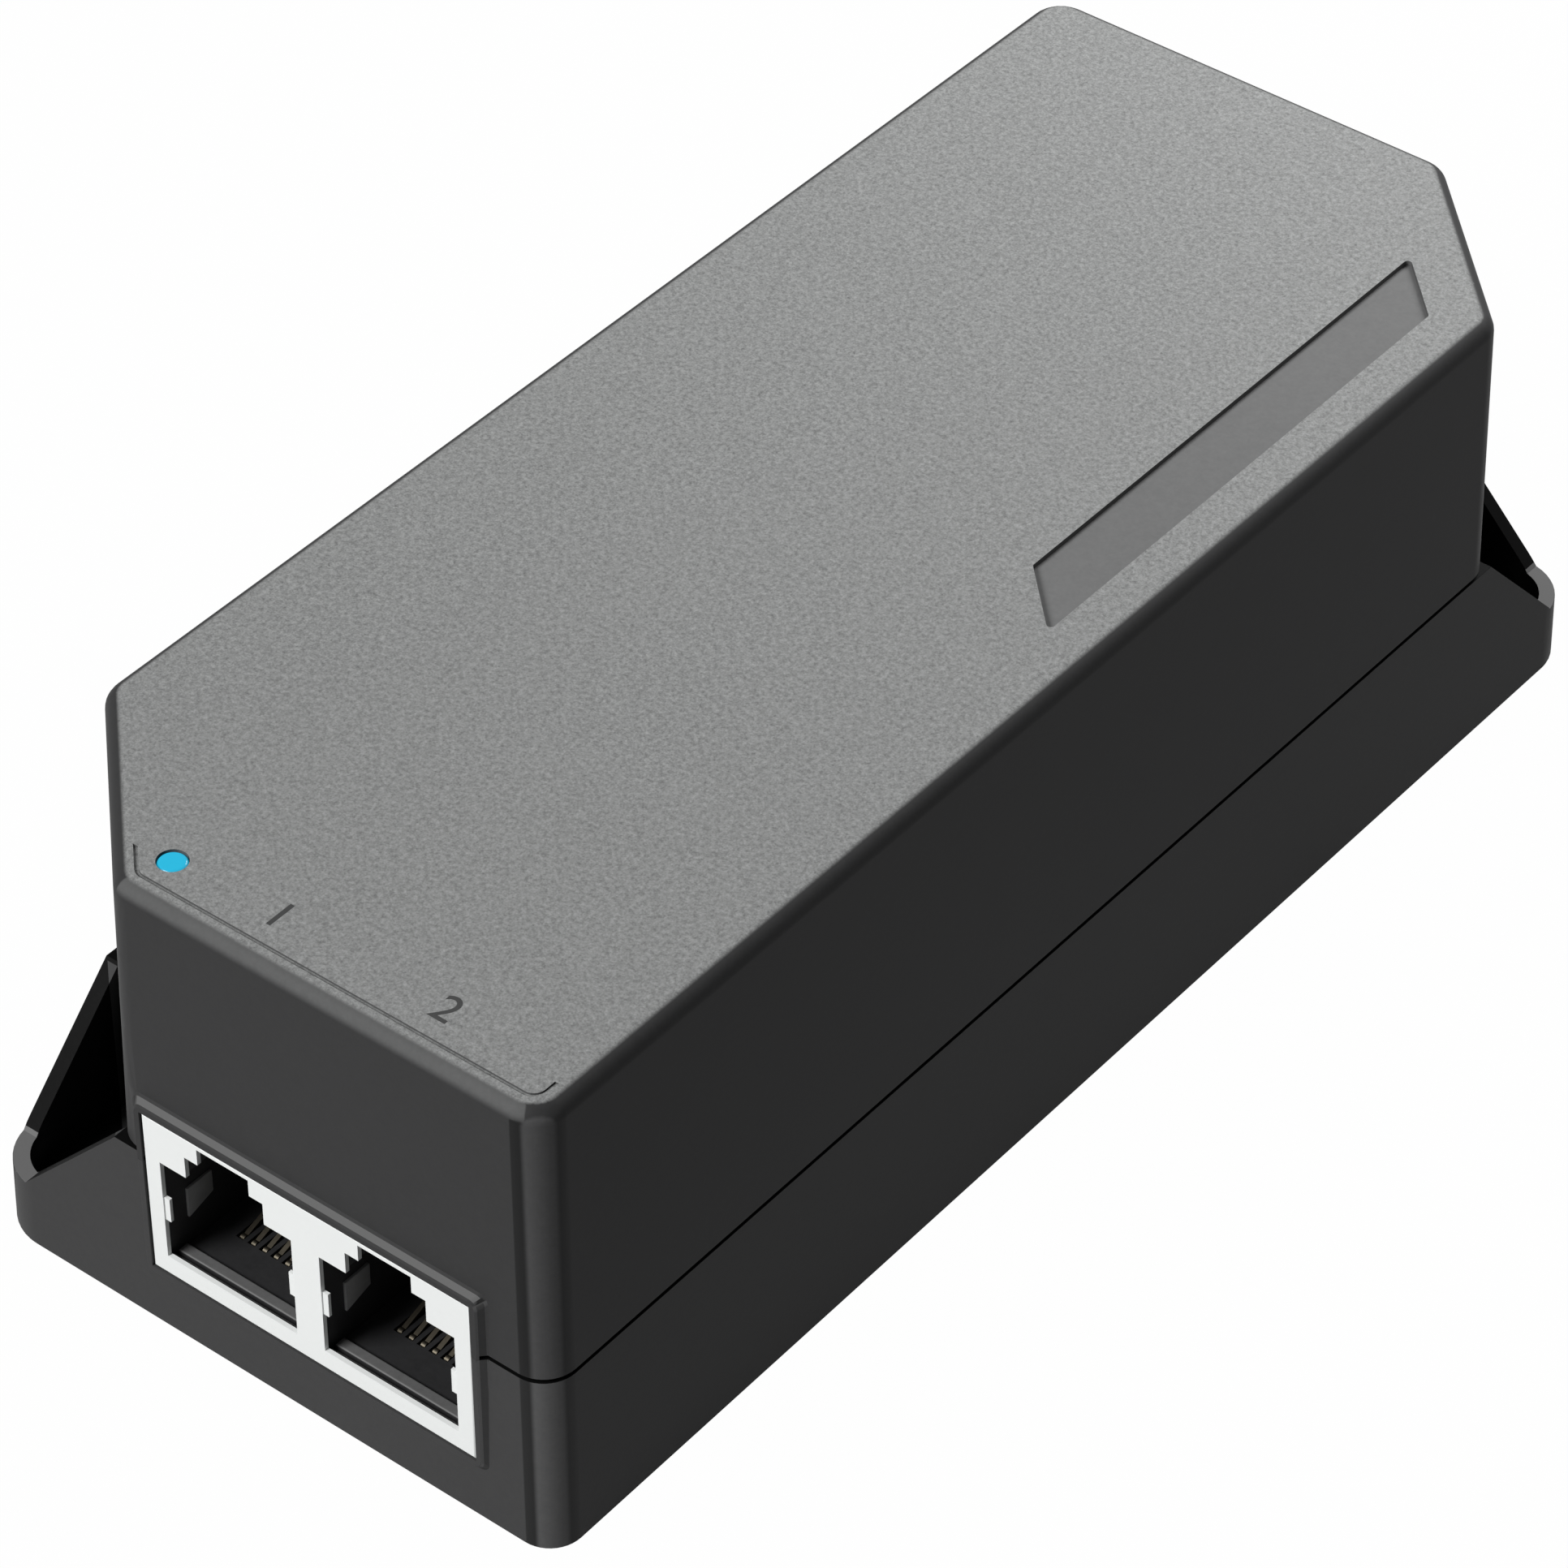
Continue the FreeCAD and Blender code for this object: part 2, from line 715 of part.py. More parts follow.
def make_inlet_housing():
    left = inlet_centre_x - inlet_width / 2
    right = left + inlet_width
    behind_wall = inlet_face_y - depth_inside_wall(inlet_top)
    back = inlet_face_y - inlet_depth
    nose = box(left, right, behind_wall, inlet_face_y, inlet_bottom, inlet_top)
    nose = nose.makeFillet(least_radius, edges_at_y(nose, inlet_face_y))
    body = box(left, right, back, behind_wall, board_top, inlet_top)
    holes = [inlet_void(inlet_face_y - inlet_opening_depth, inlet_face_y + past)]
    for x, z in blade_places():
        holes.append(box(x - blade_width / 2, x + blade_width / 2, back - past, inlet_face_y - blade_start,
                         z - blade_height / 2, z + blade_height / 2))
    return fuse([nose, body]).cut(holes)


def make_inlet_blades():
    tip = inlet_face_y - blade_start
    blades = []
    for x, z in blade_places():
        low = z - blade_height / 2
        blade = box(x - blade_width / 2, x + blade_width / 2, inlet_face_y - blade_end, tip,
                    low, low + blade_height)
        blade = blade.makeChamfer(blade_width / 4, edges_at_y(blade, tip))
        leg = centred_box(x, blade_leg_y(), blade_leg_width, blade_leg_depth, lead_end, low + past)
        blades.append(fuse([blade, leg]))
    return group(blades)


# Status light

def make_light_pipe():
    # A clear peg through the cover, a bar clear of the sockets and a foot over the lamp.
    top = case_height - light_gap
    head = rod(light_x, light_y, light_bar_bottom, top, light_radius)
    head = head.makeFillet(light_radius / 4, edges_at_height(head, top))
    collar_top = inner_roof - light_gap
    collar = rod(light_x, light_y, collar_top - light_collar_height, collar_top, light_collar_radius)
    start = V(light_x, light_y, light_bar_bottom)
    end = V(light_foot_x, light_foot_y, light_bar_bottom)
    along = end - start
    side = V(-along.y, along.x, 0).normalize() * (light_foot_width / 2)
    corners = [start + side, start - side, end - side, end + side]
    bar = prism(corners, V(0, 0, light_bar_top - light_bar_bottom))
    foot_bottom = board_top + lamp_height + lamp_gap
    foot = rod(light_foot_x, light_foot_y, foot_bottom, light_bar_top, light_foot_width / 2)
    return fuse([head, collar, bar, foot])


def make_status_lamp():
    top = board_top + lamp_height
    lamp = centred_box(light_foot_x, light_foot_y, lamp_width, lamp_depth, board_top, top)
    return lamp.makeChamfer(lamp_height / 5, edges_at_height(lamp, top))


# Circuit board and what stands on it

def make_circuit_board():
    board = block(case_outline, board_bottom, board_top, wall + board_gap)
    above = 2 * board_top
    holes = [rod(x, y, 0, above, boss_radius + board_notch_gap) for x, y in case_screws]
    holes += [rod(x, y, 0, above, board_screw_radius + screw_passage) for x, y in board_screws]
    for centre in port_centres:
        holes += [rod(x, pivot_y(), 0, above, tail_hole / 2) for x in contact_places(centre)]
    leg_x = blade_leg_width + leg_clearance
    leg_y = blade_leg_depth + leg_clearance
    holes += [centred_box(x, blade_leg_y(), leg_x, leg_y, 0, above) for x, z in blade_places()]
    return board.cut(holes)


def rounded_block(x, y, size):
    width, depth, height = size
    top = board_top + height
    solid = centred_box(x, y, width, depth, board_top, top)
    return solid.makeFillet(block_edge, [e for e in solid.Edges if e.BoundBox.ZMax > board_top + flat])


def plain_can(x, y, radius, height):
    top = board_top + height
    solid = rod(x, y, board_top, top, radius)
    return solid.makeFillet(can_edge, edges_at_height(solid, top))


def electrolytic_can(x, y, radius, height):
    # A can with a rolled groove near its foot and a vent cross in its top.
    top = board_top + height
    groove_centre = V(x, y, board_top + 3 * can_groove)
    groove = Part.makeTorus(radius + can_groove / 3, can_groove, groove_centre, V(0, 0, 1))
    vent = [centred_box(x, y, radius, vent_width, top - vent_depth, top),
            centred_box(x, y, vent_width, radius, top - vent_depth, top)]
    return plain_can(x, y, radius, height).cut([groove] + vent)


def standing_disc(x, y, radius, thickness):
    # A coated disc on two leads, its face along Y.
    z = board_top + disc_lift + radius
    disc = Part.makeCylinder(radius, thickness, V(x, y - thickness / 2, z), V(0, 1, 0))
    rims = edges_at_y(disc, y - thickness / 2) + edges_at_y(disc, y + thickness / 2)
    disc = disc.makeFillet(thickness / 3, rims)
    return fuse([disc] + [rod(x + side * radius / 2, y, board_top, z, lead_radius) for side in (-1, 1)])


def choke_centre():
    # The wound halves just clear the board.
    low = (choke_outer + choke_gap + choke_wire) * math.cos(math.radians(choke_split))
    return V(choke_x, inlet_face_y - choke_end, board_top + low + choke_gap)


def choke_section(grow):
    centre = choke_centre()
    inner = centre.z + choke_inner - grow
    outer = centre.z + choke_outer + grow
    front = centre.y - choke_depth / 2 - grow
    back = centre.y + choke_depth / 2 + grow
    corners = [(front, inner), (back, inner), (back, outer), (front, outer), (front, inner)]
    return Part.Face(Part.makePolygon([V(choke_x, y, z) for y, z in corners]))


def make_filter_choke_core():
    return choke_section(0).revolve(choke_centre(), V(0, 1, 0), 360)


def make_filter_choke_winding():
    face = choke_section(choke_gap + choke_wire).cut(choke_section(choke_gap)).Faces[0]
    halves = []
    for start in (choke_split, 180 + choke_split):
        half = face.revolve(choke_centre(), V(0, 1, 0), 180 - 2 * choke_split)
        half.rotate(choke_centre(), V(0, 1, 0), start)
        halves.append(half)
    return group(halves)


def transformer_box(width, depth, z0, z1):
    return centred_box(transformer_x, transformer_y, width, depth, z0, z1)


core_bottom = board_top + bobbin_base
core_top = core_bottom + core_height
window_bottom = core_bottom + core_yoke
window_top = core_top - core_yoke
tube_width = core_leg + 2 * (bobbin_gap + bobbin_wall)
tube_depth = core_depth + 2 * (bobbin_gap + bobbin_wall)
flange_width = core_width - 2 * (core_side + bobbin_gap)
flange_depth = tube_depth + 2 * winding_build


def make_transformer_core():
    window = (core_width - core_leg) / 2 - core_side
    windows = []
    for side in (-1, 1):
        x = transformer_x + side * (core_leg + window) / 2
        windows.append(centred_box(x, transformer_y, window, core_depth + 2, window_bottom, window_top))
    return transformer_box(core_width, core_depth, core_bottom, core_top).cut(windows)


def make_transformer_bobbin():
    low = window_bottom + bobbin_gap
    high = window_top - bobbin_gap
    tube = transformer_box(tube_width, tube_depth, low, high)
    flanges = [transformer_box(flange_width, flange_depth, low, low + bobbin_wall),
               transformer_box(flange_width, flange_depth, high - bobbin_wall, high)]
    feet = []
    for side in (-1, 1):
        y = transformer_y + side * (flange_depth / 2 - bobbin_wall)
        feet.append(centred_box(transformer_x, y, flange_width, 2 * bobbin_wall,
                                board_top, low + bobbin_wall))
    bore = transformer_box(core_leg + 2 * bobbin_gap, core_depth + 2 * bobbin_gap, low - past, high + past)
    return fuse([tube] + flanges + feet).cut(bore)


def make_transformer_winding():
    low = window_bottom + bobbin_gap + bobbin_wall + winding_gap
    high = window_top - bobbin_gap - bobbin_wall - winding_gap
    wound = transformer_box(flange_width - 4 * winding_gap, flange_depth - 4 * winding_gap, low, high)
    wound = wound.makeFillet(winding_corner, [e for e in wound.Edges if e.BoundBox.ZLength > flat])
    room = transformer_box(tube_width + winding_gap, tube_depth + winding_gap, low - past, high + past)
    return wound.cut(room)


def make_heat_sink(side, y, length):
    # An upright plate with a fold over the device.
    top = board_top + package_lift + package_height + sink_head_room + sink_thickness
    plate = centred_box(side * sink_x, y, sink_thickness, length, board_top, top)
    reach = sink_fold + sink_thickness
    fold_x = side * (sink_x + sink_thickness / 2 - reach / 2)
    fold = centred_box(fold_x, y, reach, length, top - sink_thickness, top)
    return fuse([plate, fold])


def make_power_package(side, y):
    # A flat-backed power device against its heat sink, on three leads.
    x = side * (sink_x - (sink_thickness + package_thickness) / 2)
    low = board_top + package_lift
    body = centred_box(x, y, package_thickness, package_width, low, low + package_height)
    front = x - side * package_thickness / 2
    body = body.makeChamfer(block_edge, [e for e in body.Edges if abs(e.BoundBox.Center.x - front) < flat])
    leads = [centred_box(x, y + k * package_pitch, lead_radius, 2 * lead_radius, board_top, low + past)
             for k in (-1, 0, 1)]
    return fuse([body] + leads)


def chip(place, size, pins, pitch):
    # A low package with short legs along its two long sides.
    x, y = place
    width, depth, height = size
    top = board_top + height
    body = centred_box(x, y, width, depth, board_top + chip_stand, top)
    body = body.makeChamfer(2 * chip_stand, edges_at_height(body, top))
    shoulder = board_top + 3 * chip_stand
    legs = []
    for side in (-1, 1):
        leg_y = y + side * (depth + chip_leg) / 2
        for k in range(pins):
            leg_x = x + (k - (pins - 1) / 2) * pitch
            legs.append(centred_box(leg_x, leg_y, pitch / 3, 1.5 * chip_leg, board_top, shoulder))
    return fuse([body] + legs)


def make_output_choke_core():
    x, y = drum_place
    top = board_top + drum_height
    return fuse([rod(x, y, board_top, board_top + drum_flange, drum_radius),
                 rod(x, y, board_top, top, drum_radius / 2),
                 rod(x, y, top - drum_flange, top, drum_radius)])


def make_output_choke_winding():
    x, y = drum_place
    low = board_top + drum_flange + winding_gap
    high = board_top + drum_height - drum_flange - winding_gap
    wound = rod(x, y, low, high, drum_radius - 3 * winding_gap)
    return wound.cut(rod(x, y, low - past, high + past, drum_radius / 2 + winding_gap / 2))


pieces = {
    "base_tray": make_base_tray(),
    "top_cover": make_top_cover(),
    "case_screws": make_case_screws(),
    "circuit_board": make_circuit_board(),
    "board_screws": make_board_screws(),
    "insulation_sheet": make_insulation_sheet(),
    "blank_label": make_blank_label(),
    "port_bezel": make_port_bezel(),
    "jack_housing": make_jack_housing(),
    "contact_tails": make_contact_tails(),
    "inlet_housing": make_inlet_housing(),
    "inlet_blades": make_inlet_blades(),
    "light_pipe": make_light_pipe(),
    "status_lamp": make_status_lamp(),
    "mains_fuse": plain_can(fuse_x, inlet_face_y - fuse_end, fuse_radius, fuse_height),
    "surge_varistor": standing_disc(varistor_x, inlet_face_y - varistor_end,
                                    varistor_radius, varistor_thickness),
    "filter_capacitor": rounded_block(filter_capacitor_x, inlet_face_y - filter_capacitor_end,
                                      filter_capacitor_size),
    "filter_choke_core": make_filter_choke_core(),
    "filter_choke_winding": make_filter_choke_winding(),
    "bridge_rectifier": rounded_block(bridge_x, inlet_face_y - bridge_end, bridge_size),
    "mains_capacitor": electrolytic_can(*mains_capacitor_place,
                                        mains_capacitor_radius, mains_capacitor_height),
    "transformer_core": make_transformer_core(),
    "transformer_bobbin": make_transformer_bobbin(),
    "transformer_winding": make_transformer_winding(),
    "switch_heat_sink": make_heat_sink(-1, switch_y, switch_sink_length),
    "switch_transistor": make_power_package(-1, switch_y),
    "rectifier_heat_sink": make_heat_sink(1, rectifier_y, rectifier_sink_length),
    "output_rectifier": make_power_package(1, rectifier_y),
    "safety_capacitor": standing_disc(*safety_capacitor_place,
                                      safety_capacitor_radius, safety_capacitor_thickness),
    "feedback_coupler": chip(coupler_place, coupler_size, coupler_pins, coupler_pitch),
    "power_controller": chip(controller_place, controller_size, controller_pins, controller_pitch),
    "output_capacitors": group([electrolytic_can(x, y, output_capacitor_radius, output_capacitor_height)
                                for x, y in output_capacitor_places]),
    "output_choke_core": make_output_choke_core(),
    "output_choke_winding": make_output_choke_winding(),
    "port_controller": chip((port_controller_x, jack_face_y + port_controller_end),
                            port_controller_size, port_controller_pins, port_controller_pitch),
    "line_transformer": chip((line_transformer_x, jack_face_y + line_transformer_end),
                             line_transformer_size, line_transformer_pins, line_transformer_pitch),
}
for number, centre in enumerate(port_centres, 1):
    pieces[f"contact_carrier_{number}"] = make_contact_carrier(centre)
    pieces[f"contact_springs_{number}"] = make_contact_springs(centre)

os.makedirs("parts", exist_ok=True)
for name, shape in pieces.items():
    shape.exportStep("parts/" + name + ".step")
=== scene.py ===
import json
import math

import bpy
from mathutils import Matrix, Vector


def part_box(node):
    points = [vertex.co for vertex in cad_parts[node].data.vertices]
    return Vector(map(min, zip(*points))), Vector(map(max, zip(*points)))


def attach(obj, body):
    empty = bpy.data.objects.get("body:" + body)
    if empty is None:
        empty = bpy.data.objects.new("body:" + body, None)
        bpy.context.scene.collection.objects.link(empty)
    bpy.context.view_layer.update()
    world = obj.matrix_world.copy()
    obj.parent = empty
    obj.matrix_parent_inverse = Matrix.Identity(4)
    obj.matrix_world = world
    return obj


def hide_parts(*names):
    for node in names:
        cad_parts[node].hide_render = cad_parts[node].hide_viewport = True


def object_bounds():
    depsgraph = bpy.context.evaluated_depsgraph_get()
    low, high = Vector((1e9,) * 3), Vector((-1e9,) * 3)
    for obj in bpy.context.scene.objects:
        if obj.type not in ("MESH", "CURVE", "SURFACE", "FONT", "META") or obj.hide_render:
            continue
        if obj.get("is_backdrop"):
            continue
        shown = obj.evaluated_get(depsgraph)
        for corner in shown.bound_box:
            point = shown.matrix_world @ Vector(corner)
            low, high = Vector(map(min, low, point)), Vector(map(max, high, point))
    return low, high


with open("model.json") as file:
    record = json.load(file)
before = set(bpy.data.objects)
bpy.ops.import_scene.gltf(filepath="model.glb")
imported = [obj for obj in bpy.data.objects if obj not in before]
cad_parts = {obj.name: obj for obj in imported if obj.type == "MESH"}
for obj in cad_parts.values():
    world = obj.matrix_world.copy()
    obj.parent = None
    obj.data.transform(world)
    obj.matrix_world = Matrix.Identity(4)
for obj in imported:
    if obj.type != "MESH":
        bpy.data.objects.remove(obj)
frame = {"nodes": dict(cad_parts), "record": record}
cadLow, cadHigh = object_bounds()
nodes = frame["nodes"]
slots = {part["node"]: part["material_slot"] for part in frame["record"]["subparts"]}
bodies = frame["record"]["behaviour"]["bodies"]
bodyOf = {node: body for body, members in bodies.items() for node in members}
print("frame loaded:", len(nodes), "nodes")

mm = 0.001


# selection helpers

def clearSelection():
    if bpy.context.object and bpy.context.object.mode != "OBJECT":
        bpy.ops.object.mode_set(mode="OBJECT")
    bpy.ops.object.select_all(action="DESELECT")


def takeUp(piece):
    clearSelection()
    piece.select_set(True)
    bpy.context.view_layer.objects.active = piece


def settle(piece):
    takeUp(piece)
    bpy.ops.object.transform_apply(location=True, rotation=True, scale=True)


def pickVertices(piece, wanted):
    # leaves the piece in edit mode with just these vertices selected
    bpy.ops.object.mode_set(mode="EDIT")
    bpy.ops.mesh.select_mode(type="VERT")
    bpy.ops.mesh.select_all(action="DESELECT")
    bpy.ops.object.mode_set(mode="OBJECT")
    for vertex in piece.data.vertices:
        vertex.select = wanted(vertex.co)
    bpy.ops.object.mode_set(mode="EDIT")


# shared shader groups

def newGroup(name, inputs, outputs):
    group = bpy.data.node_groups.new(name, "ShaderNodeTree")
    for socketName, kind, value in inputs:
        socket = group.interface.new_socket(socketName, in_out="INPUT", socket_type=kind)
        socket.default_value = value
    for socketName, kind in outputs:
        group.interface.new_socket(socketName, in_out="OUTPUT", socket_type=kind)
    return group, group.nodes.new("NodeGroupInput"), group.nodes.new("NodeGroupOutput")


def feed(tree, socket, value):
    # links another node's output, or sets a plain number or colour
    if hasattr(value, "is_linked"):
        tree.links.new(value, socket)
    elif socket.type == "RGBA":
        socket.default_value = (*value, 1)
    else:
        socket.default_value = value


def mathNode(tree, operation, *values):
    node = tree.nodes.new("ShaderNodeMath")
    node.operation = operation
    for socket, value in zip(node.inputs, values):
        feed(tree, socket, value)
    return node.outputs[0]


def product(tree, first, *others):
    for other in others:
        first = mathNode(tree, "MULTIPLY", first, other)
    return first


def absolute(tree, value):
    return mathNode(tree, "ABSOLUTE", value)


def mixColour(tree, factor, first, second):
    node = tree.nodes.new("ShaderNodeMix")
    node.data_type = "RGBA"
    for number, value in ((0, factor), (6, first), (7, second)):     # its factor and its two colours
        feed(tree, node.inputs[number], value)
    return node.outputs[2]


def noiseNode(tree, place, scale, detail, rough):
    node = tree.nodes.new("ShaderNodeTexNoise")
    node.inputs["Detail"].default_value = detail
    node.inputs["Roughness"].default_value = rough
    tree.links.new(place, node.inputs["Vector"])
    tree.links.new(scale, node.inputs["Scale"])
    return node.outputs["Fac"]


def spreadAbout(tree, noise, depth):
    # brings noise to swing about zero
    return product(tree, mathNode(tree, "SUBTRACT", noise, 0.5), depth)


grainShape = {
    "fine": (3, 0.65),          # detail and roughness of each noise
    "coarse": (1, 0.5),
    "cloud": (2, 0.5),
    "coarseScale": 0.37,        # against the scale of the fine noise
    "cloudScale": 0.02,
    "fineShare": 0.65,
    "coarseShare": 0.35,
}


def makeGrainGroup():
    # moulded or sparked grain: fine pips over a slow cloudiness
    group, given, result = newGroup(
        "mouldedGrain",
        [("Place", "NodeSocketVector", (0, 0, 0)), ("Scale", "NodeSocketFloat", 3000),
         ("Pips", "NodeSocketFloat", 0.1), ("Cloud", "NodeSocketFloat", 0.05)],
        [("Shade", "NodeSocketFloat"), ("Height", "NodeSocketFloat")])
    place, scale = given.outputs["Place"], given.outputs["Scale"]
    fine = noiseNode(group, place, scale, *grainShape["fine"])
    coarseScale = product(group, scale, grainShape["coarseScale"])
    coarse = noiseNode(group, place, coarseScale, *grainShape["coarse"])
    cloudScale = product(group, scale, grainShape["cloudScale"])
    cloud = noiseNode(group, place, cloudScale, *grainShape["cloud"])
    height = mathNode(group, "ADD", product(group, fine, grainShape["fineShare"]),
                      product(group, coarse, grainShape["coarseShare"]))
    spread = spreadAbout(group, height, given.outputs["Pips"])
    drift = spreadAbout(group, cloud, given.outputs["Cloud"])
    shade = mathNode(group, "ADD", mathNode(group, "ADD", spread, drift), 1.0)
    group.links.new(shade, result.inputs["Shade"])
    group.links.new(height, result.inputs["Height"])
    return group


streakNoise = (2, 0.6)     # detail and roughness


def makeStreakGroup():
    # drawn or brushed metal: noise stretched along one direction
    group, given, result = newGroup(
        "drawnStreaks",
        [("Place", "NodeSocketVector", (0, 0, 0)), ("Stretch", "NodeSocketVector", (1, 1, 1)),
         ("Scale", "NodeSocketFloat", 2000), ("Depth", "NodeSocketFloat", 0.2)],
        [("Shade", "NodeSocketFloat"), ("Height", "NodeSocketFloat")])
    scaled = group.nodes.new("ShaderNodeVectorMath")
    scaled.operation = "MULTIPLY"
    group.links.new(given.outputs["Place"], scaled.inputs[0])
    group.links.new(given.outputs["Stretch"], scaled.inputs[1])
    streak = noiseNode(group, scaled.outputs[0], given.outputs["Scale"], *streakNoise)
    spread = spreadAbout(group, streak, given.outputs["Depth"])
    group.links.new(mathNode(group, "ADD", spread, 1.0), result.inputs["Shade"])
    group.links.new(streak, result.inputs["Height"])
    return group


grainGroup = makeGrainGroup()
streakGroup = makeStreakGroup()


# materials

def startMaterial(name, roughness, metallic=0.0, specular=0.5, coat=0.0):
    material = bpy.data.materials.new(name)
    material.use_nodes = True
    tree = material.node_tree
    shader = tree.nodes["Principled BSDF"]
    shader.inputs["Roughness"].default_value = roughness
    shader.inputs["Metallic"].default_value = metallic
    shader.inputs["Specular IOR Level"].default_value = specular
    shader.inputs["Coat Weight"].default_value = coat
    coordinates = tree.nodes.new("ShaderNodeTexCoord").outputs
    # the last two are the place on the piece and the way its surface faces
    return material, tree, shader, coordinates["Object"], coordinates["Normal"]


def useGroup(tree, group, place, **values):
    node = tree.nodes.new("ShaderNodeGroup")
    node.node_tree = group
    tree.links.new(place, node.inputs["Place"])
    for name, value in values.items():
        node.inputs[name].default_value = value
    return node


def multiplyColour(tree, colour, shade):
    node = tree.nodes.new("ShaderNodeVectorMath")
    node.operation = "SCALE"
    feed(tree, node.inputs[0], colour)
    tree.links.new(shade, node.inputs["Scale"])
    return node.outputs[0]


def addBump(tree, shader, height, distance, strength=1.0):
    bump = tree.nodes.new("ShaderNodeBump")
    bump.inputs["Distance"].default_value = distance
    bump.inputs["Strength"].default_value = strength
    tree.links.new(height, bump.inputs["Height"])
    tree.links.new(bump.outputs["Normal"], shader.inputs["Normal"])


def varyRoughness(tree, shader, height, low, high):
    spread = mathNode(tree, "MULTIPLY_ADD", height, high - low, low)
    tree.links.new(spread, shader.inputs["Roughness"])


def paint(tree, shader, colour):
    tree.links.new(colour, shader.inputs["Base Color"])


def splitPlace(tree, place):
    node = tree.nodes.new("ShaderNodeSeparateXYZ")
    tree.links.new(place, node.inputs[0])
    return tuple(node.outputs)     # across, along, up


def ramp(tree, value, start, end):
    # 0 below start, 1 above end
    node = tree.nodes.new("ShaderNodeMapRange")
    node.interpolation_type = "SMOOTHSTEP"
    node.inputs["From Min"].default_value = start
    node.inputs["From Max"].default_value = end
    tree.links.new(value, node.inputs["Value"])
    return node.outputs[0]


grainFinish = {
    "socket_guide": dict(colour=(0.30, 0.30, 0.30), rough=(0.45, 0.6),
                         scale=3000, pips=0.3, cloud=0.2, bump=0.006),
    "bezel_white": dict(colour=(0.90, 0.92, 0.91), rough=(0.34, 0.44),
                        scale=2500, pips=0.04, cloud=0.03, bump=0.004),
    "lamp_white": dict(colour=(0.72, 0.72, 0.66), rough=(0.2, 0.3),
                       scale=2500, pips=0.05, cloud=0.05, bump=0.002),
    "part_black": dict(colour=(0.022, 0.022, 0.023), rough=(0.5, 0.7),
                       scale=3500, pips=0.5, cloud=0.3, bump=0.012),
    "disc_blue": dict(colour=(0.03, 0.10, 0.42), rough=(0.15, 0.3),
                      scale=900, pips=0.25, cloud=0.3, bump=0.02),
    "capacitor_yellow": dict(colour=(0.72, 0.50, 0.06), rough=(0.3, 0.45),
                             scale=2000, pips=0.1, cloud=0.15, bump=0.006),
    "ferrite": dict(colour=(0.045, 0.045, 0.048), rough=(0.55, 0.8),
                    scale=4200, pips=0.9, cloud=0.4, bump=0.02),
    "can_black": dict(colour=(0.016, 0.018, 0.035), rough=(0.22, 0.34),
                      scale=1500, pips=0.3, cloud=0.3, bump=0.006),
    "winding_tape": dict(colour=(0.76, 0.60, 0.08), rough=(0.2, 0.35),
                         scale=1200, pips=0.12, cloud=0.2, bump=0.006),
    "clear_sheet": dict(colour=(0.62, 0.40, 0.12), rough=(0.15, 0.25),
                        scale=800, pips=0.08, cloud=0.2, bump=0.004),
}

metalFinish = {
    "steel_screw": dict(colour=(0.55, 0.55, 0.56), rough=(0.25, 0.45),
                        stretch=(1, 1, 0.15), scale=2600, depth=0.25),
    "contact_gold": dict(colour=(0.13, 0.115, 0.088), rough=(0.45, 0.6),
                         stretch=(1, 0.1, 1), scale=6000, depth=0.3),
    "blade_nickel": dict(colour=(0.66, 0.65, 0.61), rough=(0.14, 0.3),
                         stretch=(1, 0.08, 1), scale=3000, depth=0.2),
    "sink_aluminium": dict(colour=(0.66, 0.67, 0.68), rough=(0.3, 0.5),
                           stretch=(1, 0.1, 1), scale=2200, depth=0.25),
    "copper_wire": dict(colour=(0.62, 0.25, 0.08), rough=(0.2, 0.35),
                        stretch=(0.2, 1, 0.2), scale=2000, depth=0.5),
}


def makeGrainFinish(name, finish):
    material, tree, shader, place = startMaterial(name, sum(finish["rough"]) / 2)[:4]
    grain = useGroup(tree, grainGroup, place,
                     Scale=finish["scale"], Pips=finish["pips"], Cloud=finish["cloud"])
    paint(tree, shader, multiplyColour(tree, finish["colour"], grain.outputs["Shade"]))
    varyRoughness(tree, shader, grain.outputs["Height"], *finish["rough"])
    addBump(tree, shader, grain.outputs["Height"], finish["bump"] * mm)
    return material


metalBump = 0.004 * mm


def makeMetalFinish(name, finish):
    material, tree, shader, place = startMaterial(name, sum(finish["rough"]) / 2, metallic=1.0)[:4]
    streak = useGroup(tree, streakGroup, place,
                      Stretch=finish["stretch"], Scale=finish["scale"], Depth=finish["depth"])
    paint(tree, shader, multiplyColour(tree, finish["colour"], streak.outputs["Shade"]))
    varyRoughness(tree, shader, streak.outputs["Height"], *finish["rough"])
    addBump(tree, shader, streak.outputs["Height"], metalBump)
    return material


# painted shade and painted highlight beside the rounded upright edges
uprightPaintedLight = {
    "line": 0.42,               # shade of the painted dark line
    "band": 1.0,                # added shade of the painted highlight band
    "lineTurn": (0.03, 0.14),   # how far round the edge each starts
    "bandTurn": (0.55, 0.8),
    "lean": 0.25,               # faces that lean more than this stay plain
}


def uprightShade(tree, facing):
    # painted shade as a fine dark line beside the two rounded upright edges, then a painted highlight as a
    # lighter band
    across, along, up = splitPlace(tree, facing)
    turned = product(tree, across, along, -2.0)
    endHalf = mathNode(tree, "GREATER_THAN", absolute(tree, along), absolute(tree, across))
    upright = mathNode(tree, "LESS_THAN", absolute(tree, up), uprightPaintedLight["lean"])
    starts = product(tree, ramp(tree, turned, *uprightPaintedLight["lineTurn"]), upright)
    band = ramp(tree, turned, *uprightPaintedLight["bandTurn"])
    line = product(tree, starts, endHalf, mathNode(tree, "SUBTRACT", 1.0, band))
    darker = mathNode(tree, "MULTIPLY_ADD", line, uprightPaintedLight["line"] - 1.0, 1.0)
    return mathNode(tree, "MULTIPLY_ADD", band, uprightPaintedLight["band"], darker)
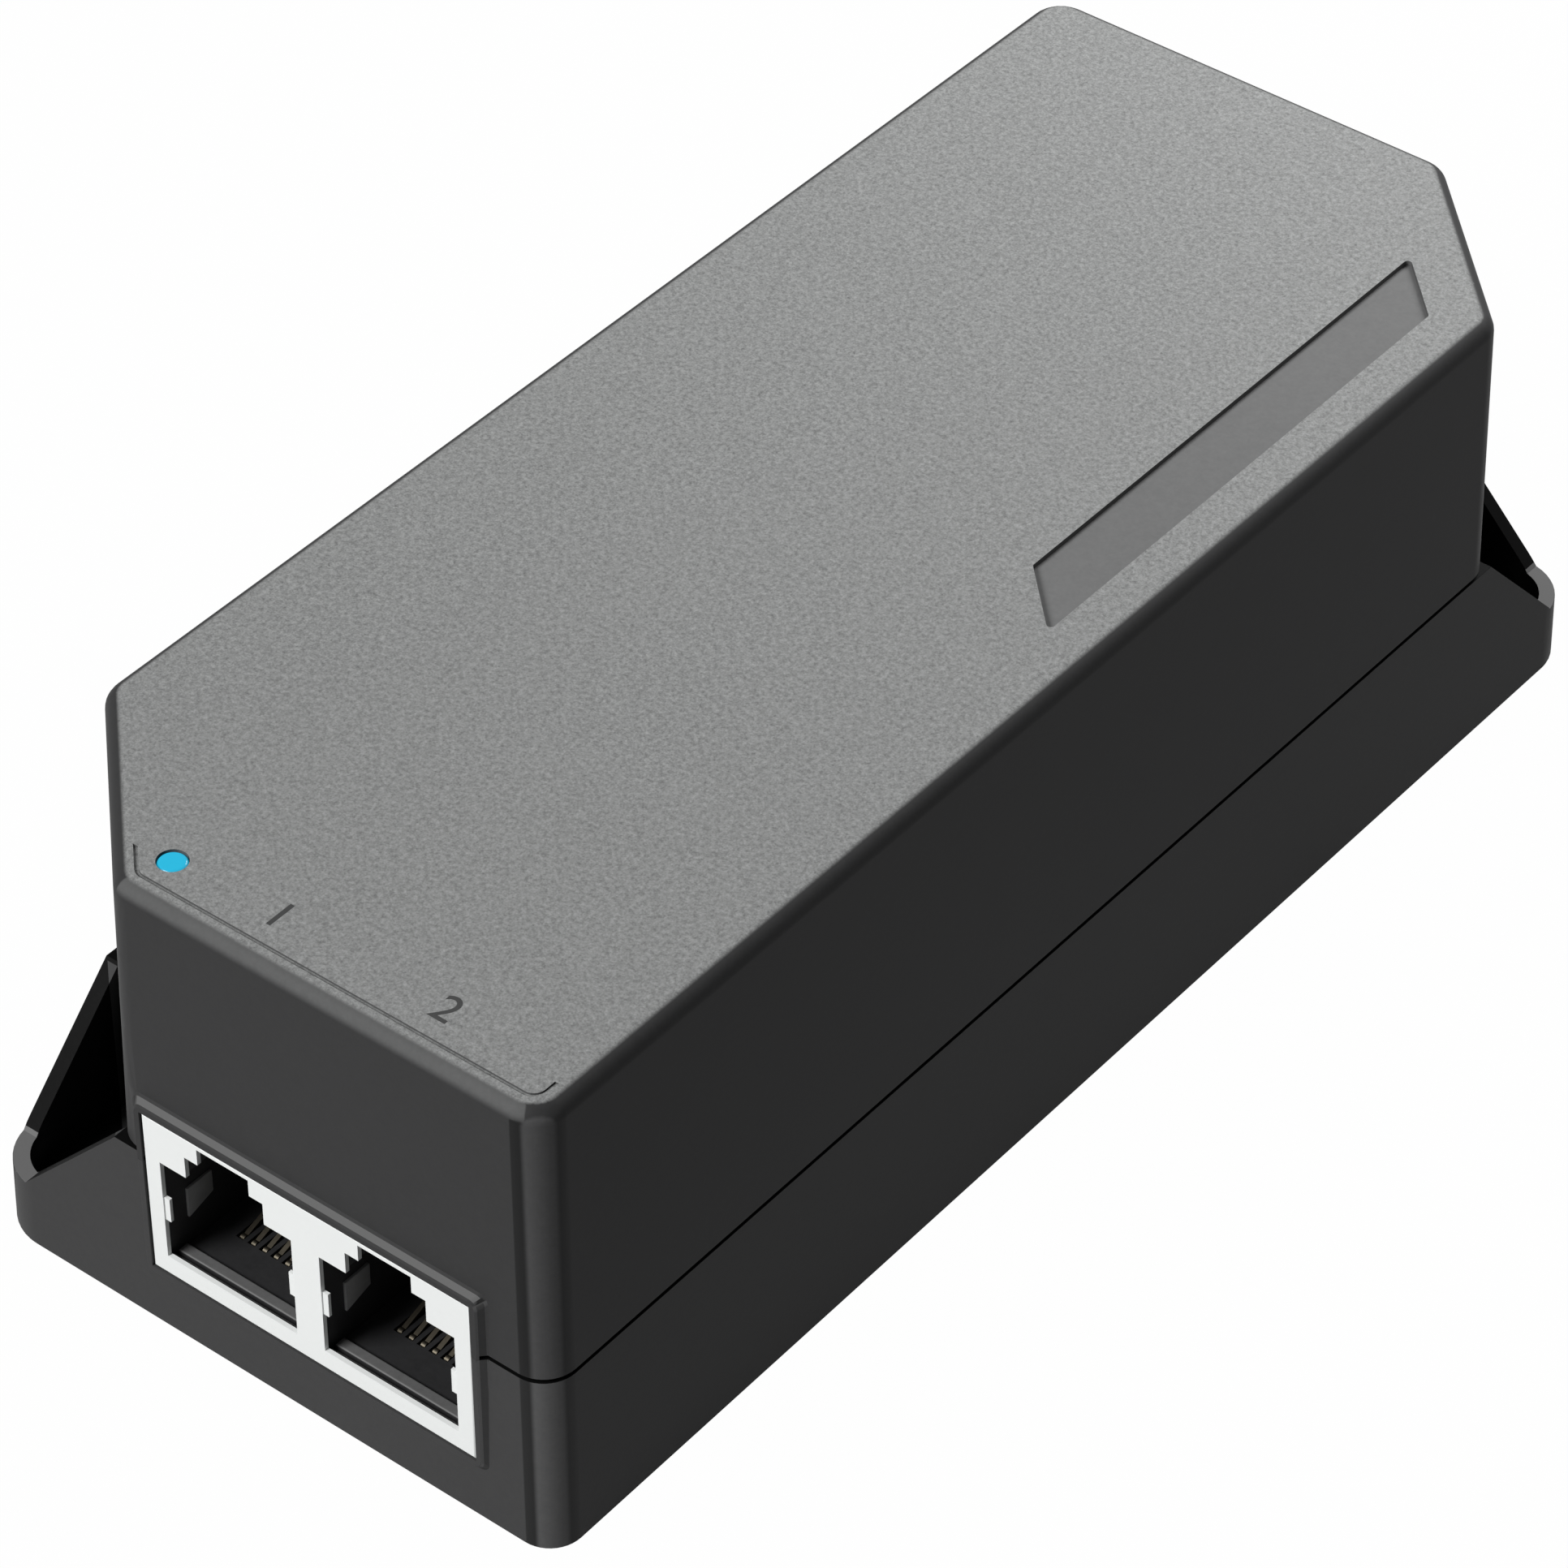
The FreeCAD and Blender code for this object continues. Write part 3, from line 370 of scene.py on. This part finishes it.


# painted light on the frame's upward slopes and painted shade on its other faces
framePaintedLight = {
    "reach": 1.6 * mm,          # slopes of the frame beyond the bezel
    "depth": 0.3 * mm,          # middle of the slopes, back from the front of the case
    "spread": 0.17 * mm,
    "litTurn": (0.2, 0.5),      # how far a face is turned up where it is light
    "shadedTurn": (0.12, 0.3),  # and sideways or down where it is shaded
    "shaded": 0.55,
}


def onFrame(tree, place):
    # the sloping sides of the raised frame round the sockets
    low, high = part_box("port_bezel")
    across, along = splitPlace(tree, place)[:2]
    beside = mathNode(tree, "COMPARE", across, (low.x + high.x) / 2,
                      (high.x - low.x) / 2 + framePaintedLight["reach"])
    inFront = mathNode(tree, "COMPARE", along, cadLow.y + framePaintedLight["depth"], framePaintedLight["spread"])
    return product(tree, beside, inFront)


def frameSlope(tree, place, facing):
    # faces of the frame that are turned up, which get painted light
    return product(tree, onFrame(tree, place),
                   ramp(tree, splitPlace(tree, facing)[2], *framePaintedLight["litTurn"]))


def frameShade(tree, place, facing):
    # painted shade on faces of the frame that are turned sideways or down
    across, _, up = splitPlace(tree, facing)
    turned = mathNode(tree, "MAXIMUM", absolute(tree, across), product(tree, up, -1.0))
    shaded = product(tree, onFrame(tree, place), ramp(tree, turned, *framePaintedLight["shadedTurn"]))
    return mathNode(tree, "MULTIPLY_ADD", shaded, framePaintedLight["shaded"] - 1.0, 1.0)


def wallShade(tree, grain, place, facing):
    # the grain, times the painted shade and painted highlight of the upright edges and of the frame
    shade = product(tree, grain.outputs["Shade"], uprightShade(tree, facing))
    return product(tree, shade, frameShade(tree, place, facing))


caseGrain = {"Scale": 3200, "Pips": 0.35, "Cloud": 0.06}     # smooth walls of the cover and the tray

coverFinish = {
    "side": (0.0410, 0.0410, 0.0415),
    "top": (0.234, 0.238, 0.236),
    "edge": (0.105, 0.106, 0.106),
    "slope": (0.125, 0.125, 0.125),
    "plate": (0.148, 0.149, 0.149),
    "plateWall": (0.10, 0.10, 0.10),
    "plateSpan": ((15.3 * mm, 20.9 * mm), (-2.6 * mm, 48.2 * mm)),     # recess across and along
    "plateHeight": (0.5 * mm, 0.02 * mm),      # its walls, down from the top
    "plateDepth": 0.2 * mm,                    # anything lower is its floor
    "topGrain": {"Scale": 7500, "Pips": 2.2, "Cloud": 0.03},
    "topTurn": (0.90, 0.995),                  # how level a face is where the top's grain and painted light start
    "topDepth": 0.6 * mm,
    "edgeHeight": (1.15 * mm, 0.55 * mm),      # painted highlight on the rounded front edge, down from the top
    "frontTurn": (0.0, 0.05),
    "rough": (0.5, 0.62),
    "sideBump": 0.4,                           # against the bump of the top
    "bump": 0.02 * mm,
}


def nearPlate(tree, place):
    # the recess of the name plate, walls and all
    lowest, highest = (cadHigh.z - down for down in coverFinish["plateHeight"])
    inside = 1.0
    for axis, (start, end) in zip(splitPlace(tree, place), (*coverFinish["plateSpan"], (lowest, highest))):
        between = mathNode(tree, "COMPARE", axis, (start + end) / 2, (end - start) / 2)
        inside = product(tree, between, inside)
    return inside


def makeCoverGrey():
    # smooth dark sides that turn into the sparked top over the rounded edge; the top's lighter grey is
    # painted light from above
    material, tree, shader, place, facing = startMaterial("cover_grey", 0.6, specular=0.06)
    up = splitPlace(tree, place)[2]
    sideways, lengthways, upwards = splitPlace(tree, facing)
    # level faces at the top: sparked grain, and a lighter grey as painted light from above
    onTop = product(tree, ramp(tree, upwards, *coverFinish["topTurn"]),
                    mathNode(tree, "GREATER_THAN", up, cadHigh.z - coverFinish["topDepth"]))
    onPlate = mathNode(tree, "LESS_THAN", up, cadHigh.z - coverFinish["plateDepth"])
    ahead = mathNode(tree, "SUBTRACT", product(tree, lengthways, -0.5), absolute(tree, sideways))
    edgeBottom, edgeTop = (cadHigh.z - down for down in coverFinish["edgeHeight"])
    # painted highlight on the rounded front edge
    onEdge = product(tree, ramp(tree, up, edgeBottom, edgeTop), ramp(tree, ahead, *coverFinish["frontTurn"]))
    sideGrain = useGroup(tree, grainGroup, place, **caseGrain)
    topGrain = useGroup(tree, grainGroup, place, **coverFinish["topGrain"])
    side = multiplyColour(tree, coverFinish["side"], wallShade(tree, sideGrain, place, facing))
    # painted light on the frame's upward slopes
    side = mixColour(tree, frameSlope(tree, place, facing), side, coverFinish["slope"])
    # painted shade on the walls of the name plate's recess, darker than the top around them
    side = mixColour(tree, nearPlate(tree, place), side, coverFinish["plateWall"])
    edge = multiplyColour(tree, coverFinish["edge"], sideGrain.outputs["Shade"])
    sparked = multiplyColour(tree, coverFinish["top"], topGrain.outputs["Shade"])
    plate = multiplyColour(tree, coverFinish["plate"], sideGrain.outputs["Shade"])
    sparked = mixColour(tree, onPlate, sparked, plate)
    paint(tree, shader, mixColour(tree, onTop, mixColour(tree, onEdge, side, edge), sparked))
    rougher = mathNode(tree, "ADD", onTop, sideGrain.outputs["Height"])
    varyRoughness(tree, shader, rougher, *coverFinish["rough"])
    height = mathNode(tree, "MULTIPLY_ADD", onTop, topGrain.outputs["Height"],
                      product(tree, sideGrain.outputs["Height"], coverFinish["sideBump"]))
    addBump(tree, shader, height, coverFinish["bump"])
    return material


trayFinish = {
    # dark tray plastic, painted a little lighter than the cover's sides as painted light bounced off the
    # floor
    "colour": (0.055, 0.055, 0.0555),
    "pocket": (0.004, 0.004, 0.004),
    "rim": (0.165, 0.165, 0.165),
    "earReach": 13.5 * mm,                     # start of the ears, in from the corner both ways together
    "earFloor": 2.1 * mm,
    "earWall": 1.05 * mm,                      # just inside the outer faces
    "rimHeight": (5.7 * mm, 0.25 * mm),        # middle and half of its spread
    "rimTurn": 0.4,                            # faces turned up more than this
    "parting": (15.4 * mm, 0.2 * mm),
    "shadedTurn": 0.15,
    "rough": (0.5, 0.66),
    "bump": 0.01 * mm,
}


def makeCaseDark():
    # moulded dark tray; painted shade makes the two screw pockets near black and darkens the tray's upward
    # faces at the parting, and painted light lightens the upward faces of the ear rims
    material, tree, shader, place, facing = startMaterial("case_dark", 0.6, specular=0.06)
    across, along, up = splitPlace(tree, place)
    upwards = splitPlace(tree, facing)[2]
    wide = mathNode(tree, "LESS_THAN", absolute(tree, across), cadHigh.x - trayFinish["earWall"])
    long = mathNode(tree, "LESS_THAN", absolute(tree, along), cadHigh.y - trayFinish["earWall"])
    diagonal = absolute(tree, mathNode(tree, "ADD", across, along))
    corner = mathNode(tree, "GREATER_THAN", diagonal, cadHigh.x + cadHigh.y - trayFinish["earReach"])
    above = mathNode(tree, "GREATER_THAN", up, trayFinish["earFloor"])
    onEar = product(tree, above, corner)
    onRim = product(tree, mathNode(tree, "COMPARE", up, *trayFinish["rimHeight"]), onEar)
    # painted light on the upward faces of the ear rims
    rim = product(tree, mathNode(tree, "GREATER_THAN", upwards, trayFinish["rimTurn"]), onRim)
    turnedUp = mathNode(tree, "GREATER_THAN", upwards, trayFinish["shadedTurn"])
    # painted shade on the tray's upward faces at the parting
    parting = product(tree, mathNode(tree, "COMPARE", up, *trayFinish["parting"]), turnedUp)
    # painted shade filling the screw pockets
    shaded = mathNode(tree, "MAXIMUM", product(tree, turnedUp, onEar), parting)
    shaded = mathNode(tree, "MAXIMUM", product(tree, wide, long, onEar), shaded)
    grain = useGroup(tree, grainGroup, place, **caseGrain)
    colour = multiplyColour(tree, trayFinish["colour"], wallShade(tree, grain, place, facing))
    colour = mixColour(tree, shaded, colour, trayFinish["pocket"])
    paint(tree, shader, mixColour(tree, rim, colour, trayFinish["rim"]))
    varyRoughness(tree, shader, grain.outputs["Height"], *trayFinish["rough"])
    addBump(tree, shader, grain.outputs["Height"], trayFinish["bump"])
    return material


socketFinish = {
    "colour": (0.024, 0.024, 0.025),
    "ledge": (0.12, 0.12, 0.12),
    "ledgeDepth": 2.0 * mm,
    "ledgeTurn": (0.3, 0.7),
    "grain": {"Scale": 3000, "Pips": 0.5, "Cloud": 0.2},
    "rough": (0.42, 0.62),
    "bump": 0.01 * mm,
}


def makeSocketBlack():
    # socket mouldings, with painted light on the upward ledge just inside each opening
    material, tree, shader, place, facing = startMaterial("socket_black", 0.5, specular=0.4)
    along = splitPlace(tree, place)[1]
    inFront = mathNode(tree, "LESS_THAN", along, cadLow.y + socketFinish["ledgeDepth"])
    ledge = product(tree, inFront, ramp(tree, splitPlace(tree, facing)[2], *socketFinish["ledgeTurn"]))
    grain = useGroup(tree, grainGroup, place, **socketFinish["grain"])
    colour = mixColour(tree, ledge, socketFinish["colour"], socketFinish["ledge"])
    paint(tree, shader, multiplyColour(tree, colour, grain.outputs["Shade"]))
    varyRoughness(tree, shader, grain.outputs["Height"], *socketFinish["rough"])
    addBump(tree, shader, grain.outputs["Height"], socketFinish["bump"])
    return material


boardFinish = {
    "mask": ((0.010, 0.10, 0.035), (0.014, 0.13, 0.045)),
    "track": (0.03, 0.22, 0.08),
    "trackScale": 160,
    "trackWidth": 0.06,
    "grain": {"Scale": 2200, "Pips": 0.3, "Cloud": 0.25},
    "rough": (0.3, 0.45),
    "bump": 0.02 * mm,
    "bumpStrength": 0.6,
}


def makeBoardGreen():
    # green mask over a lattice of tracks
    material, tree, shader, place = startMaterial("board_green", 0.35, coat=0.3)[:4]
    tracks = tree.nodes.new("ShaderNodeTexBrick")
    tracks.inputs["Scale"].default_value = boardFinish["trackScale"]
    tracks.inputs["Mortar Size"].default_value = boardFinish["trackWidth"]
    for name, colour in zip(("Color1", "Color2", "Mortar"), (*boardFinish["mask"], boardFinish["track"])):
        feed(tree, tracks.inputs[name], colour)
    tree.links.new(place, tracks.inputs["Vector"])
    grain = useGroup(tree, grainGroup, place, **boardFinish["grain"])
    paint(tree, shader, multiplyColour(tree, tracks.outputs["Color"], grain.outputs["Shade"]))
    varyRoughness(tree, shader, grain.outputs["Height"], *boardFinish["rough"])
    addBump(tree, shader, tracks.outputs["Fac"], boardFinish["bump"], boardFinish["bumpStrength"])
    return material


labelFinish = {
    "foil": (0.50, 0.50, 0.50),
    "border": (0.05, 0.05, 0.05),
    "borderLine": (1.4 * mm, 0.15 * mm),       # in from the edge, and half its width
    "grain": {"Scale": 1500, "Pips": 0.12, "Cloud": 0.1},
    "rough": (0.35, 0.5),
    "bump": 0.004 * mm,
}


def makeLabelSilver():
    # blank foil with a thin printed border
    material, tree, shader, place = startMaterial("label_silver", 0.4)[:4]
    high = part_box("blank_label")[1]
    across, along = splitPlace(tree, place)[:2]
    fromSide = mathNode(tree, "SUBTRACT", high.x, absolute(tree, across))
    fromEnd = mathNode(tree, "SUBTRACT", high.y, absolute(tree, along))
    inward = mathNode(tree, "MINIMUM", fromSide, fromEnd)
    border = mathNode(tree, "COMPARE", inward, *labelFinish["borderLine"])
    grain = useGroup(tree, grainGroup, place, **labelFinish["grain"])
    foil = multiplyColour(tree, labelFinish["foil"], grain.outputs["Shade"])
    paint(tree, shader, mixColour(tree, border, foil, labelFinish["border"]))
    varyRoughness(tree, shader, grain.outputs["Height"], *labelFinish["rough"])
    addBump(tree, shader, grain.outputs["Height"], labelFinish["bump"])
    return material


lightFinish = {
    "colour": (0.011, 0.25, 0.38),
    "glow": 0.95,
    "lit": (0.6 * mm, 0.3 * mm),               # the glow fades in between these depths
    "grain": {"Scale": 1800, "Pips": 0.08, "Cloud": 0.1},
    "rough": (0.2, 0.3),
}


def makeLightBlue():
    # clear light guide, lit at its end
    material, tree, shader, place = startMaterial("light_blue", 0.25)[:4]
    lit = ramp(tree, splitPlace(tree, place)[2], *(cadHigh.z - down for down in lightFinish["lit"]))
    grain = useGroup(tree, grainGroup, place, **lightFinish["grain"])
    paint(tree, shader, multiplyColour(tree, lightFinish["colour"], grain.outputs["Shade"]))
    glow = mixColour(tree, lit, (0, 0, 0), lightFinish["colour"])
    tree.links.new(glow, shader.inputs["Emission Color"])
    shader.inputs["Emission Strength"].default_value = lightFinish["glow"]
    varyRoughness(tree, shader, grain.outputs["Height"], *lightFinish["rough"])
    return material


inkFinish = {
    "colour": (0.052, 0.053, 0.053),
    "grain": {"Scale": 3600, "Pips": 0.5, "Cloud": 0.2},
    "rough": (0.5, 0.65),
    "bump": 0.01 * mm,
}


def makePrintInk():
    # pad print on the top
    material, tree, shader, place = startMaterial("print_ink", 0.55, specular=0.3)[:4]
    grain = useGroup(tree, grainGroup, place, **inkFinish["grain"])
    paint(tree, shader, multiplyColour(tree, inkFinish["colour"], grain.outputs["Shade"]))
    varyRoughness(tree, shader, grain.outputs["Height"], *inkFinish["rough"])
    addBump(tree, shader, grain.outputs["Height"], inkFinish["bump"])
    return material


materials = {name: makeGrainFinish(name, finish) for name, finish in grainFinish.items()}
materials.update({name: makeMetalFinish(name, finish) for name, finish in metalFinish.items()})
materials.update(
    cover_grey=makeCoverGrey(), case_dark=makeCaseDark(), board_green=makeBoardGreen(),
    socket_black=makeSocketBlack(), label_silver=makeLabelSilver(), light_blue=makeLightBlue(),
    print_ink=makePrintInk())
print("materials:", len(materials))


def coat(piece, material):
    piece.data.materials.clear()
    piece.data.materials.append(material)


for node, piece in nodes.items():
    coat(piece, materials[slots[node]])


# smooth copies of the moulded and turned nodes

edgeBreaks = {
    "top_cover": 0.06 * mm, "base_tray": 0.06 * mm, "port_bezel": 0, "jack_housing": 0,
    "inlet_housing": 0, "inlet_blades": 0, "light_pipe": 0, "case_screws": 0,
}
smoothing = {
    "merge": 0.001 * mm,
    "flat": math.radians(0.3),
    "breakFrom": math.radians(35),     # edges sharper than this are broken
    "sharpFrom": math.radians(28),     # and than this are shaded as edges
}


def smoothCopy(node, edgeBreak):
    source = nodes[node]
    piece = bpy.data.objects.new(node + "_shell", source.data.copy())
    bpy.context.scene.collection.objects.link(piece)
    takeUp(piece)
    bpy.ops.object.mode_set(mode="EDIT")
    bpy.ops.mesh.select_all(action="SELECT")
    bpy.ops.mesh.remove_doubles(threshold=smoothing["merge"])
    bpy.ops.mesh.dissolve_limited(angle_limit=smoothing["flat"])
    bpy.ops.object.mode_set(mode="OBJECT")
    if edgeBreak:
        bevel = piece.modifiers.new("edgeBreak", "BEVEL")
        bevel.width = edgeBreak
        bevel.segments = 2
        bevel.limit_method = "ANGLE"
        bevel.angle_limit = smoothing["breakFrom"]
        bpy.ops.object.modifier_apply(modifier=bevel.name)
    bpy.ops.object.shade_smooth_by_angle(angle=smoothing["sharpFrom"])
    weights = piece.modifiers.new("faceWeights", "WEIGHTED_NORMAL")     # keeps the wide flats flat
    weights.keep_sharp = True
    bpy.ops.object.modifier_apply(modifier=weights.name)
    coat(piece, materials[slots[node]])
    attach(piece, bodyOf[node])
    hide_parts(node)


for node, edgeBreak in edgeBreaks.items():
    smoothCopy(node, edgeBreak)
print("smooth copies:", len(edgeBreaks))


# guide blocks on the left wall inside the two sockets

socketNumbers = (1, 2)

guideBlock = {
    "span": (2.3 * mm, 4.7 * mm),      # back from the front of the case
    "height": (9.4 * mm, 12.0 * mm),
    "proud": 0.14 * mm,
    "sunk": 0.10 * mm,
    "rise": 0.7 * mm,                  # lower edge climbs towards the back
    "edge": 0.06 * mm,
    "sharpFrom": math.radians(35),
}


def addGuide(number):
    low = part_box(f"contact_carrier_{number}")[0]
    near, far = (cadLow.y + reach for reach in guideBlock["span"])
    bottom, top = guideBlock["height"]
    inner, outer = low.x + guideBlock["proud"], low.x - guideBlock["sunk"]
    middle = ((inner + outer) / 2, (near + far) / 2, (bottom + top) / 2)
    clearSelection()
    bpy.ops.mesh.primitive_cube_add(size=1, location=middle, scale=(inner - outer, far - near, top - bottom))
    piece = bpy.context.object
    piece.name = f"socket_guide_{number}"
    settle(piece)
    pickVertices(piece, lambda place: place.y > middle[1] and place.z < middle[2])
    bpy.ops.transform.translate(value=(0, 0, guideBlock["rise"]))
    bpy.ops.mesh.select_all(action="SELECT")
    bpy.ops.mesh.bevel(offset=guideBlock["edge"], segments=2, affect="EDGES")
    bpy.ops.object.mode_set(mode="OBJECT")
    bpy.ops.object.shade_smooth_by_angle(angle=guideBlock["sharpFrom"])
    coat(piece, materials["socket_guide"])
    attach(piece, "case")


for number in socketNumbers:
    addGuide(number)
print("socket guides:", len(socketNumbers))


# printed numerals over the two sockets

numeral = {
    "height": 2.4 * mm,
    "fontShare": 0.7,              # height of a figure against the size of its font
    "lift": 0.015 * mm,
    "fromEdge": 4.1 * mm,
    "aside": 1.8 * mm,
}


def printNumeral(text, across):
    clearSelection()
    bpy.ops.object.text_add(location=(0, 0, 0))
    piece = bpy.context.object
    piece.data.body = text
    piece.data.size = numeral["height"] / numeral["fontShare"]
    piece.data.align_x = "CENTER"
    piece.data.extrude = numeral["lift"]
    bpy.ops.object.convert(target="MESH")
    piece.location = (across, cadLow.y + numeral["fromEdge"], cadHigh.z)
    settle(piece)
    piece.name = "numeral_" + text
    coat(piece, materials["print_ink"])
    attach(piece, "case")


for number in socketNumbers:
    low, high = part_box(f"contact_carrier_{number}")
    printNumeral(str(number), (low.x + high.x) / 2 + numeral["aside"])
print("numerals printed")


# camera, floor and lights

cameraView = {
    "azimuth": 38.62, "elevation": 40.852, "distance": 0.44984,
    "across": -0.002818, "up": 0.009525,     # the camera's own place, beside the line to the middle
    "focal": 7664.8, "width": 1932,          # lens and width of the view, in the same unit
    "sensor": 36, "nearest": 0.01,
}


def addCamera():
    turn = math.radians(cameraView["azimuth"])
    lift = math.radians(cameraView["elevation"])
    back = Vector((math.sin(turn) * math.cos(lift), -math.cos(turn) * math.cos(lift), math.sin(lift)))
    right = Vector((math.cos(turn), math.sin(turn), 0))
    up = back.cross(right)
    data = bpy.data.cameras.new("camera")
    data.sensor_width = cameraView["sensor"]
    data.lens = cameraView["focal"] * cameraView["sensor"] / cameraView["width"]
    data.clip_start = cameraView["nearest"]
    camera = bpy.data.objects.new("camera", data)
    place = back * cameraView["distance"] + right * cameraView["across"] + up * cameraView["up"]
    camera.matrix_world = Matrix.Translation(place) @ Matrix((right, up, back)).transposed().to_4x4()
    bpy.context.scene.collection.objects.link(camera)
    bpy.context.scene.camera = camera


floorFinish = {
    "size": 4.0,
    "below": 0.02 * mm,
    "colour": (0.25, 0.25, 0.25),
    "rough": 0.9,
    "seen": 0.99,              # how white the camera sees it, with the rest left for the shadow
}


def addFloor():
    clearSelection()
    middle = (0, 0, cadLow.z - floorFinish["below"])
    bpy.ops.mesh.primitive_plane_add(size=floorFinish["size"], location=middle)
    floor = bpy.context.object
    floor.name = "floor"
    material = bpy.data.materials.new("paleFloor")
    material.use_nodes = True
    tree = material.node_tree
    shader = tree.nodes["Principled BSDF"]
    feed(tree, shader.inputs["Base Color"], floorFinish["colour"])
    shader.inputs["Roughness"].default_value = floorFinish["rough"]
    shader.inputs["Specular IOR Level"].default_value = 0.0
    glow = tree.nodes.new("ShaderNodeEmission")
    glow.inputs["Color"].default_value = (1, 1, 1, 1)
    rays = tree.nodes.new("ShaderNodeLightPath").outputs
    seen = mathNode(tree, "MAXIMUM", rays["Is Camera Ray"],
                    mathNode(tree, "MAXIMUM", rays["Is Glossy Ray"], rays["Is Transmission Ray"]))
    mix = tree.nodes.new("ShaderNodeMixShader")
    tree.links.new(product(tree, seen, floorFinish["seen"]), mix.inputs[0])
    tree.links.new(shader.outputs[0], mix.inputs[1])
    tree.links.new(glow.outputs[0], mix.inputs[2])
    tree.links.new(mix.outputs[0], tree.nodes["Material Output"].inputs["Surface"])
    floor.data.materials.append(material)
    floor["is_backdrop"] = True


roomLight = 0.15


def addWorld():
    # white where it is seen, dim where it lights the case
    world = bpy.data.worlds.new("paleRoom")
    bpy.context.scene.world = world
    world.use_nodes = True
    tree = world.node_tree
    background = tree.nodes["Background"]
    background.inputs["Color"].default_value = (1, 1, 1, 1)
    rays = tree.nodes.new("ShaderNodeLightPath").outputs
    seen = mathNode(tree, "MAXIMUM", rays["Is Camera Ray"], rays["Is Transmission Ray"])
    strength = mathNode(tree, "MULTIPLY_ADD", seen, 1.0 - roomLight, roomLight)
    tree.links.new(strength, background.inputs["Strength"])


lamps = {
    "key": dict(place=(-0.45, -1.1, 1.0), size=0.7, power=24.0),
    "top": dict(place=(0.0, 0.19, 0.15), size=0.12, power=0.42),
}


def addLamp(name, lamp):
    data = bpy.data.lights.new(name, "AREA")
    data.shape = "DISK"
    data.size = lamp["size"]
    data.energy = lamp["power"]
    light = bpy.data.objects.new(name, data)
    light.location = lamp["place"]
    light.rotation_euler = (-Vector(lamp["place"])).to_track_quat("-Z", "Y").to_euler()
    light.visible_camera = False
    bpy.context.scene.collection.objects.link(light)


addCamera()
addFloor()
addWorld()
for name, lamp in lamps.items():
    addLamp(name, lamp)
bpy.context.scene.view_settings.view_transform = "Standard"
print("camera, floor and lights placed")

low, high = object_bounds()
